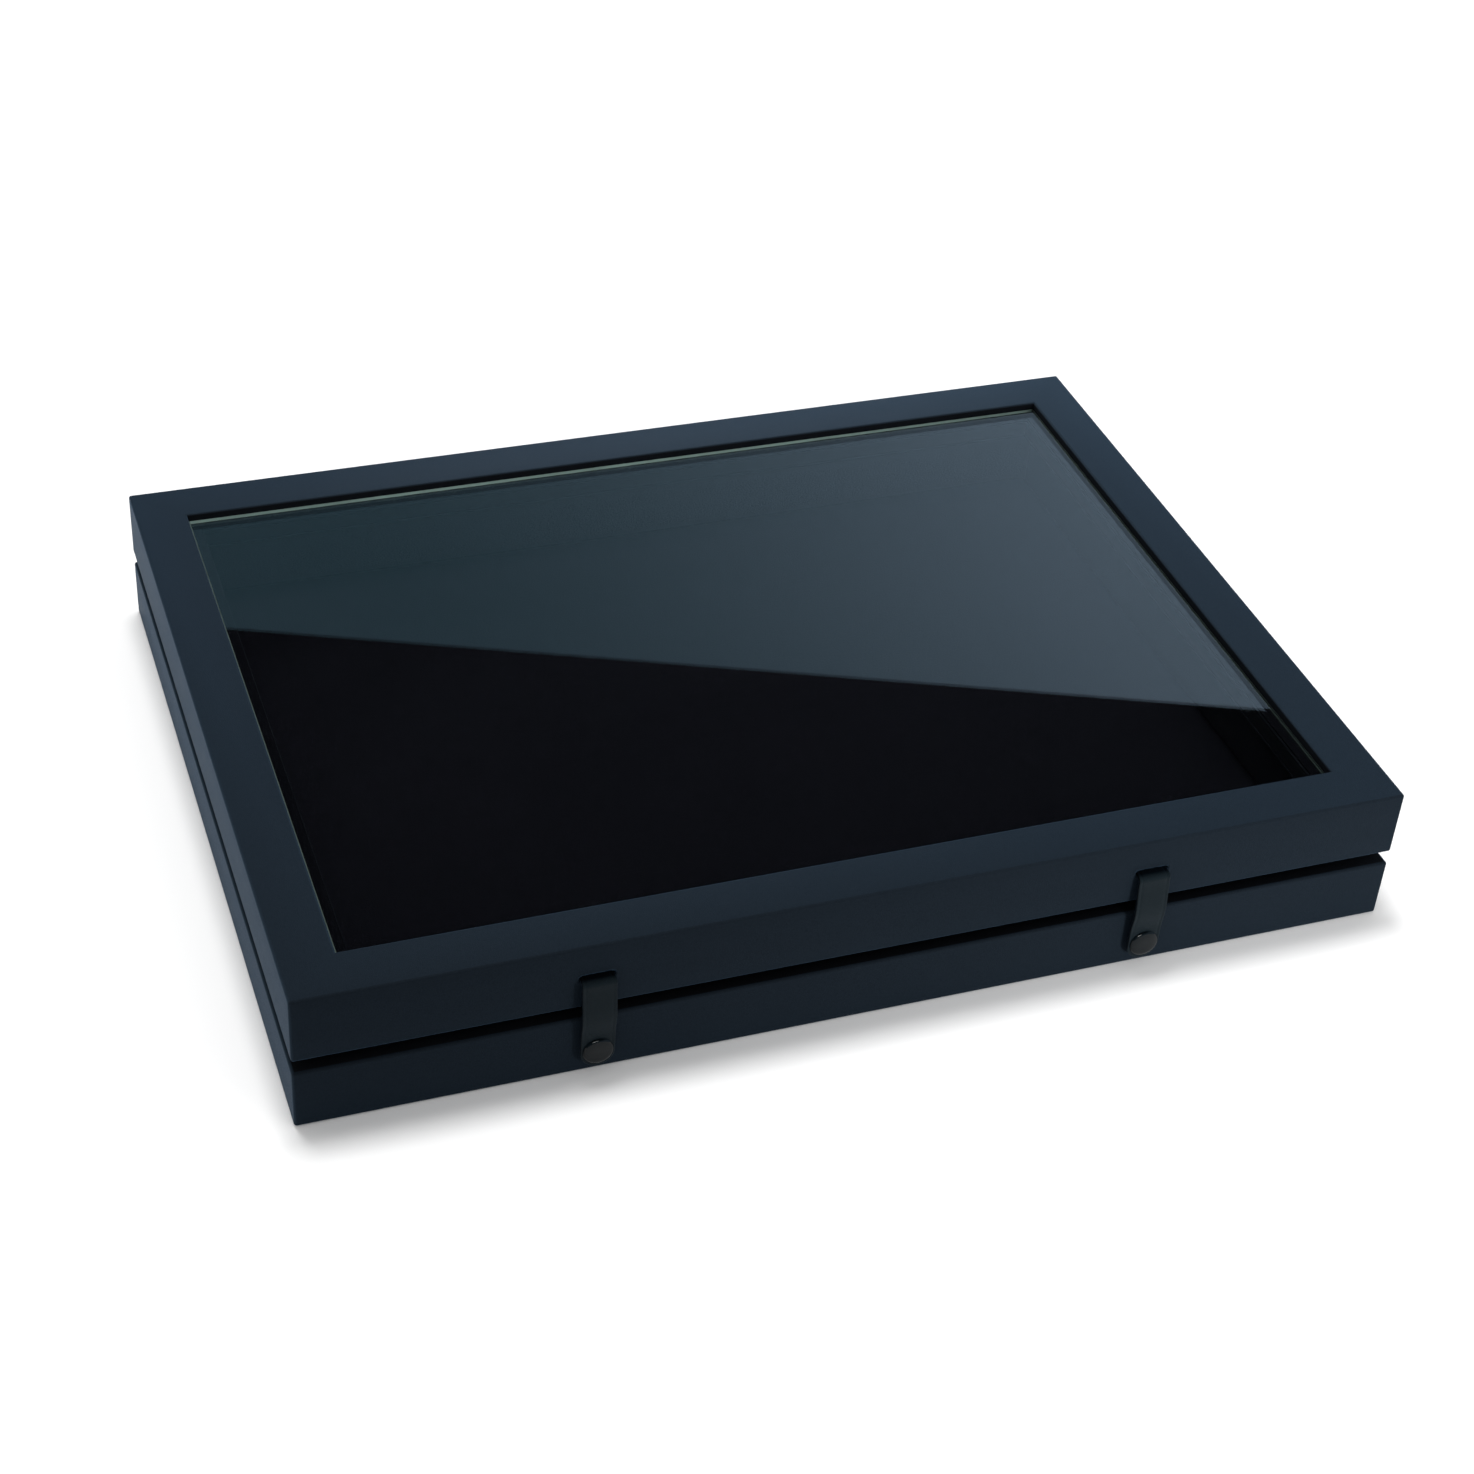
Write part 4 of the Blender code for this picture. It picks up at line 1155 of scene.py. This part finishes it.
def add_lamp(name, place, target, size, watts, spread=180.0):
    """A rectangular lamp that faces a point; its spread is in degrees."""
    lamp = bpy.data.lights.new(name, "AREA")
    lamp.shape = "RECTANGLE"
    lamp.size, lamp.size_y = size
    lamp.energy = watts
    lamp.spread = math.radians(spread)
    holder = bpy.data.objects.new(name, lamp)
    bpy.context.scene.collection.objects.link(holder)
    holder.location = place
    aim = Vector(target) - Vector(place)
    holder.rotation_euler = aim.to_track_quat("-Z", "Y").to_euler()
    holder.visible_glossy = False
    holder.visible_transmission = False
    return holder


def add_camera(studio):
    """A camera at the photo's place, turned by its azimuth, tilt and roll."""
    azimuth, tilt, roll = studio.camera_azimuth, studio.camera_tilt, studio.camera_roll
    level_part = math.cos(tilt)
    forward = Vector(
        (math.sin(azimuth) * level_part, math.cos(azimuth) * level_part, -math.sin(tilt))
    )
    level = forward.cross(Vector((0, 0, 1))).normalized()
    upright = level.cross(forward)
    right = math.cos(roll) * level + math.sin(roll) * upright
    up = math.cos(roll) * upright - math.sin(roll) * level
    camera = bpy.data.cameras.new("camera")
    camera.sensor_width = SENSOR_WIDTH
    camera.lens = studio.focal_pixels / PHOTO_WIDTH * SENSOR_WIDTH
    camera.clip_start, camera.clip_end = 0.01, 50.0
    holder = bpy.data.objects.new("camera", camera)
    bpy.context.scene.collection.objects.link(holder)
    turn = Matrix((right, up, -forward)).transposed().to_4x4()
    holder.matrix_world = Matrix.Translation(studio.camera_place) @ turn
    bpy.context.scene.camera = holder


def seen_mask(tree):
    """One for camera, glossy and transmission rays, nothing for the rest or for any ray
    that a matt surface has scattered before."""
    path = add_node(tree, "ShaderNodeLightPath")
    first = product(
        tree, path.outputs["Is Camera Ray"], path.outputs["Is Glossy Ray"], "MAXIMUM"
    )
    seen = product(tree, first, path.outputs["Is Transmission Ray"], "MAXIMUM")
    matt = product(tree, path.outputs["Diffuse Depth"], 0.5, "LESS_THAN")
    return product(tree, seen, matt)


def make_world(studio):
    """A white room that lights matt surfaces less strongly than it looks."""
    world = bpy.data.worlds.new("studio")
    bpy.context.scene.world = world
    world.use_nodes = True
    tree = world.node_tree
    strength = ranged(tree, seen_mask(tree), studio.world_strength, 1.0)
    room = tree.nodes["Background"]
    room.inputs["Color"].default_value = (1.0, 1.0, 1.0, 1.0)
    tree.links.new(strength, room.inputs["Strength"])


def make_floor(colours):
    """Pale floor that keeps the case's shadow, and turns into a white ground further out,
    where the lamp's light falls off."""
    half, height = 9.0, -0.0002
    matt_share, glow, fade_start, fade_end = 0.43, 0.5, 0.7, 2.2
    points = np.column_stack([half * CORNER_SIGNS, np.full(4, height)])
    floor = link_piece("floor", points, FLAT_FACE, smooth=False)
    material, tree, shader = new_material(
        "floor_paper", Roughness=0.9, Specular_IOR_Level=0.1, Emission_Strength=1.0
    )
    seen = seen_mask(tree)
    shown = mixed(tree, seen, shade(colours.floor, matt_share), shade(colours.floor))
    tree.links.new(shown, shader.inputs["Base Color"])
    place = {0: coordinates(tree)}
    reach = add_node(tree, "ShaderNodeVectorMath", place, operation="LENGTH")
    far = ranged(tree, reach.outputs["Value"], 0.0, glow, fade_start, fade_end)
    lift = mixed(tree, product(tree, far, seen), (0, 0, 0, 1), (1, 1, 1, 1))
    tree.links.new(lift, shader.inputs["Emission Color"])
    floor.data.materials.append(material)


def reflected_only(piece, name, shader_of):
    """A card or flag that is seen only by light paths that have been reflected.

    Its material turns transparent for a path that has no glossy bounce, so that it
    never stands in sight through the open lid's pane.
    """
    material = bpy.data.materials.new(name)
    material.use_nodes = True
    tree = material.node_tree
    tree.nodes.remove(tree.nodes["Principled BSDF"])
    path = add_node(tree, "ShaderNodeLightPath")
    turned = product(tree, path.outputs["Glossy Depth"], 0.5, "GREATER_THAN")
    clear = add_node(tree, "ShaderNodeBsdfTransparent")
    mix_surface(tree, turned, clear, shader_of(tree))
    piece.data.materials.append(material)
    piece.visible_camera = False
    piece.visible_diffuse = False
    piece.visible_volume_scatter = False
    piece.visible_shadow = False


def make_flag():
    """Black flag above the case, so that the near part of the glass reflects dark.

    Its far edge crosses the camera's line of view, as the photo's reflection does.
    """
    half, height, turn = 1.145, 0.900, math.radians(-22.1)
    c, s = math.cos(turn), math.sin(turn)
    flat = half * CORNER_SIGNS @ np.array([[c, s], [-s, c]])
    points = np.column_stack([flat, np.full(4, height)])
    flag = link_piece("flag", points, FLAT_FACE, smooth=False)

    def cloth(tree):
        return add_node(tree, "ShaderNodeEmission", {"Strength": 0.0})

    reflected_only(flag, "flag_cloth", cloth)


def make_card():
    """Ring of card round the case that the far part of the glass reflects.

    A cylinder whose light runs from a dim blue to a paler one. The share of the paler
    colour is a sum of X, height and a constant, each with its own factor, to a power.
    """
    radius, low, top, count = 1.75, 0.02, 1.6, 96
    per_x, per_height, constant, power = 1.1162, -0.7777, 0.6947, 1.6
    dim, pale = (0.107, 0.207, 0.271, 1), (0.452, 0.625, 0.815, 1)
    angle = np.linspace(0, 2 * math.pi, count, endpoint=False)
    ring = np.column_stack([radius * np.cos(angle), radius * np.sin(angle)])
    points = np.stack([np.column_stack([ring, np.full(count, z)]) for z in (low, top)])
    card = link_piece("card", points, grid_faces(points, wrap_columns=True).tolist())

    def glow(tree):
        x, _, z = separated(tree, coordinates(tree))
        across, lower = product(tree, x, per_x), product(tree, z, per_height)
        both = product(tree, product(tree, across, lower, "ADD"), constant, "ADD")
        held = add_node(tree, "ShaderNodeClamp", {"Value": both}).outputs[0]
        colour = mixed(tree, product(tree, held, power, "POWER"), dim, pale)
        return add_node(tree, "ShaderNodeEmission", {"Color": colour})

    reflected_only(card, "card_glow", glow)


def link_light(lamp, pieces, state):
    """Let a lamp light only some pieces, or all but these."""
    links = bpy.data.collections.new(f"{lamp.name}_links")
    for piece in pieces:
        links.objects.link(piece)
    for row in links.collection_objects:
        row.light_linking.link_state = state
    lamp.light_linking.receiver_collection = links


def make_lamps(studio):
    """Soft lamps: one above, low ones behind and at the left and front right, and a small
    one whose light shows on the caps."""
    objects = bpy.data.objects
    add_lamp(
        "overhead", place=(-0.15, 0.39, 2.4), target=(0, 0, 0), size=(0.60, 0.60),
        watts=studio.overhead_watts,
    )
    behind = add_lamp(
        "behind", place=(0.10, 0.36, 0.20), target=(0.08, 0.14, 0.055), size=(0.34, 0.12),
        watts=studio.back_watts,
    )
    link_light(behind, [objects["floor"]], "EXCLUDE")
    left = add_lamp(
        "left", place=(-0.60, -0.15, 0.03), target=(-0.20, -0.08, 0.03), size=(0.10, 0.06),
        watts=studio.left_watts,
    )
    link_light(left, [objects["lid_leatherette"], objects["base_leatherette"]], "INCLUDE")
    add_lamp(
        "front", place=(0.25, -0.75, 0.12), target=(0.15, -0.15, 0.03), size=(0.15, 0.15),
        watts=studio.front_watts, spread=64.0,
    )
    spark = add_lamp(
        "spark", place=(-0.20, -0.76, 0.55), target=(0, -0.15, 0.01), size=(0.40, 0.14),
        watts=4.0,
    )
    spark.visible_glossy, spark.visible_diffuse = True, False
    link_light(spark, [objects[f"cap_{side}"] for side in SIDES], "INCLUDE")


# ---- Operators


class CaseOperator:
    """What the case's operators share."""

    bl_options = {"REGISTER", "UNDO"}

    @staticmethod
    def settings(context):
        """The three groups of properties."""
        scene = context.scene
        return scene.case_sizes, scene.case_colours, scene.case_studio


class DISPLAYCASE_OT_covers(CaseOperator, bpy.types.Operator):
    """Cover lid and base with leatherette"""

    bl_idname = "displaycase.covers"
    bl_label = "Leatherette Covers"

    def execute(self, context):
        sizes, colours, _ = self.settings(context)
        make_lid_cover(sizes, colours)
        make_base_cover(sizes, colours)
        return {"FINISHED"}


class DISPLAYCASE_OT_pane(CaseOperator, bpy.types.Operator):
    """Set the glass pane in the lid"""

    bl_idname = "displaycase.pane"
    bl_label = "Glass Pane"

    def execute(self, context):
        sizes, colours, _ = self.settings(context)
        make_pane(sizes, colours)
        return {"FINISHED"}


class DISPLAYCASE_OT_pad(CaseOperator, bpy.types.Operator):
    """Lay the velvet pad in the tray"""

    bl_idname = "displaycase.pad"
    bl_label = "Velvet Pad"

    def execute(self, context):
        sizes, colours, _ = self.settings(context)
        make_pad(sizes, colours)
        return {"FINISHED"}


class DISPLAYCASE_OT_straps(CaseOperator, bpy.types.Operator):
    """Hang the two straps from their slits"""

    bl_idname = "displaycase.straps"
    bl_label = "Straps"

    def execute(self, context):
        sizes, colours, _ = self.settings(context)
        for side, middle in strap_middles().items():
            make_strap(side, middle, sizes, colours)
        return {"FINISHED"}


class DISPLAYCASE_OT_fasteners(CaseOperator, bpy.types.Operator):
    """Fit caps, sockets and studs"""

    bl_idname = "displaycase.fasteners"
    bl_label = "Press Fasteners"

    def execute(self, context):
        sizes, colours, _ = self.settings(context)
        for side, middle in strap_middles().items():
            make_fastener(side, middle, sizes, colours)
        return {"FINISHED"}


class DISPLAYCASE_OT_finishes(CaseOperator, bpy.types.Operator):
    """Give the boards, neck, lining, tape and hinges their finishes"""

    bl_idname = "displaycase.finishes"
    bl_label = "Finishes of the Solids"

    def execute(self, context):
        _, colours, _ = self.settings(context)
        for start, end, finish_name in SOLID_FINISHES:
            names = [n for n in frame["nodes"] if n.startswith(start) and n.endswith(end)]
            refinish(names, finish_of(finish_name, colours))
        return {"FINISHED"}


class DISPLAYCASE_OT_studio(CaseOperator, bpy.types.Operator):
    """Set up the floor, lamps, reflected cards and camera"""

    bl_idname = "displaycase.studio"
    bl_label = "Studio"

    def execute(self, context):
        _, colours, studio = self.settings(context)
        context.scene.view_settings.view_transform = "Standard"
        make_world(studio)
        make_floor(colours)
        make_flag()
        make_card()
        make_lamps(studio)
        add_camera(studio)
        return {"FINISHED"}


OPERATORS = (
    DISPLAYCASE_OT_covers,
    DISPLAYCASE_OT_pane,
    DISPLAYCASE_OT_pad,
    DISPLAYCASE_OT_straps,
    DISPLAYCASE_OT_fasteners,
    DISPLAYCASE_OT_finishes,
    DISPLAYCASE_OT_studio,
)


class DISPLAYCASE_PT_panel(bpy.types.Panel):
    """Lists the steps that dress the case"""

    bl_label = "Display Case"
    bl_idname = "DISPLAYCASE_PT_panel"
    bl_space_type = "VIEW_3D"
    bl_region_type = "UI"
    bl_category = "Display Case"

    def draw(self, context):
        column = self.layout.column(align=True)
        for operator in OPERATORS:
            column.operator(operator.bl_idname)
        scene = context.scene
        for group in (scene.case_sizes, scene.case_colours, scene.case_studio):
            box = self.layout.box()
            for name in group.__annotations__:
                box.prop(group, name)


CLASSES = (CaseSizes, CaseColours, CaseStudio, *OPERATORS, DISPLAYCASE_PT_panel)


def register():
    """Make the classes known to Blender."""
    for made in CLASSES:
        bpy.utils.register_class(made)
    bpy.types.Scene.case_sizes = PointerProperty(type=CaseSizes)
    bpy.types.Scene.case_colours = PointerProperty(type=CaseColours)
    bpy.types.Scene.case_studio = PointerProperty(type=CaseStudio)


def unregister():
    """Take the classes away again."""
    del bpy.types.Scene.case_studio
    del bpy.types.Scene.case_colours
    del bpy.types.Scene.case_sizes
    for made in reversed(CLASSES):
        bpy.utils.unregister_class(made)


def main():
    """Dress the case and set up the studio."""
    register()
    bpy.ops.displaycase.covers()
    bpy.ops.displaycase.pane()
    bpy.ops.displaycase.pad()
    bpy.ops.displaycase.straps()
    bpy.ops.displaycase.fasteners()
    bpy.ops.displaycase.finishes()
    bpy.ops.displaycase.studio()


if __name__ == "__main__":
    main()
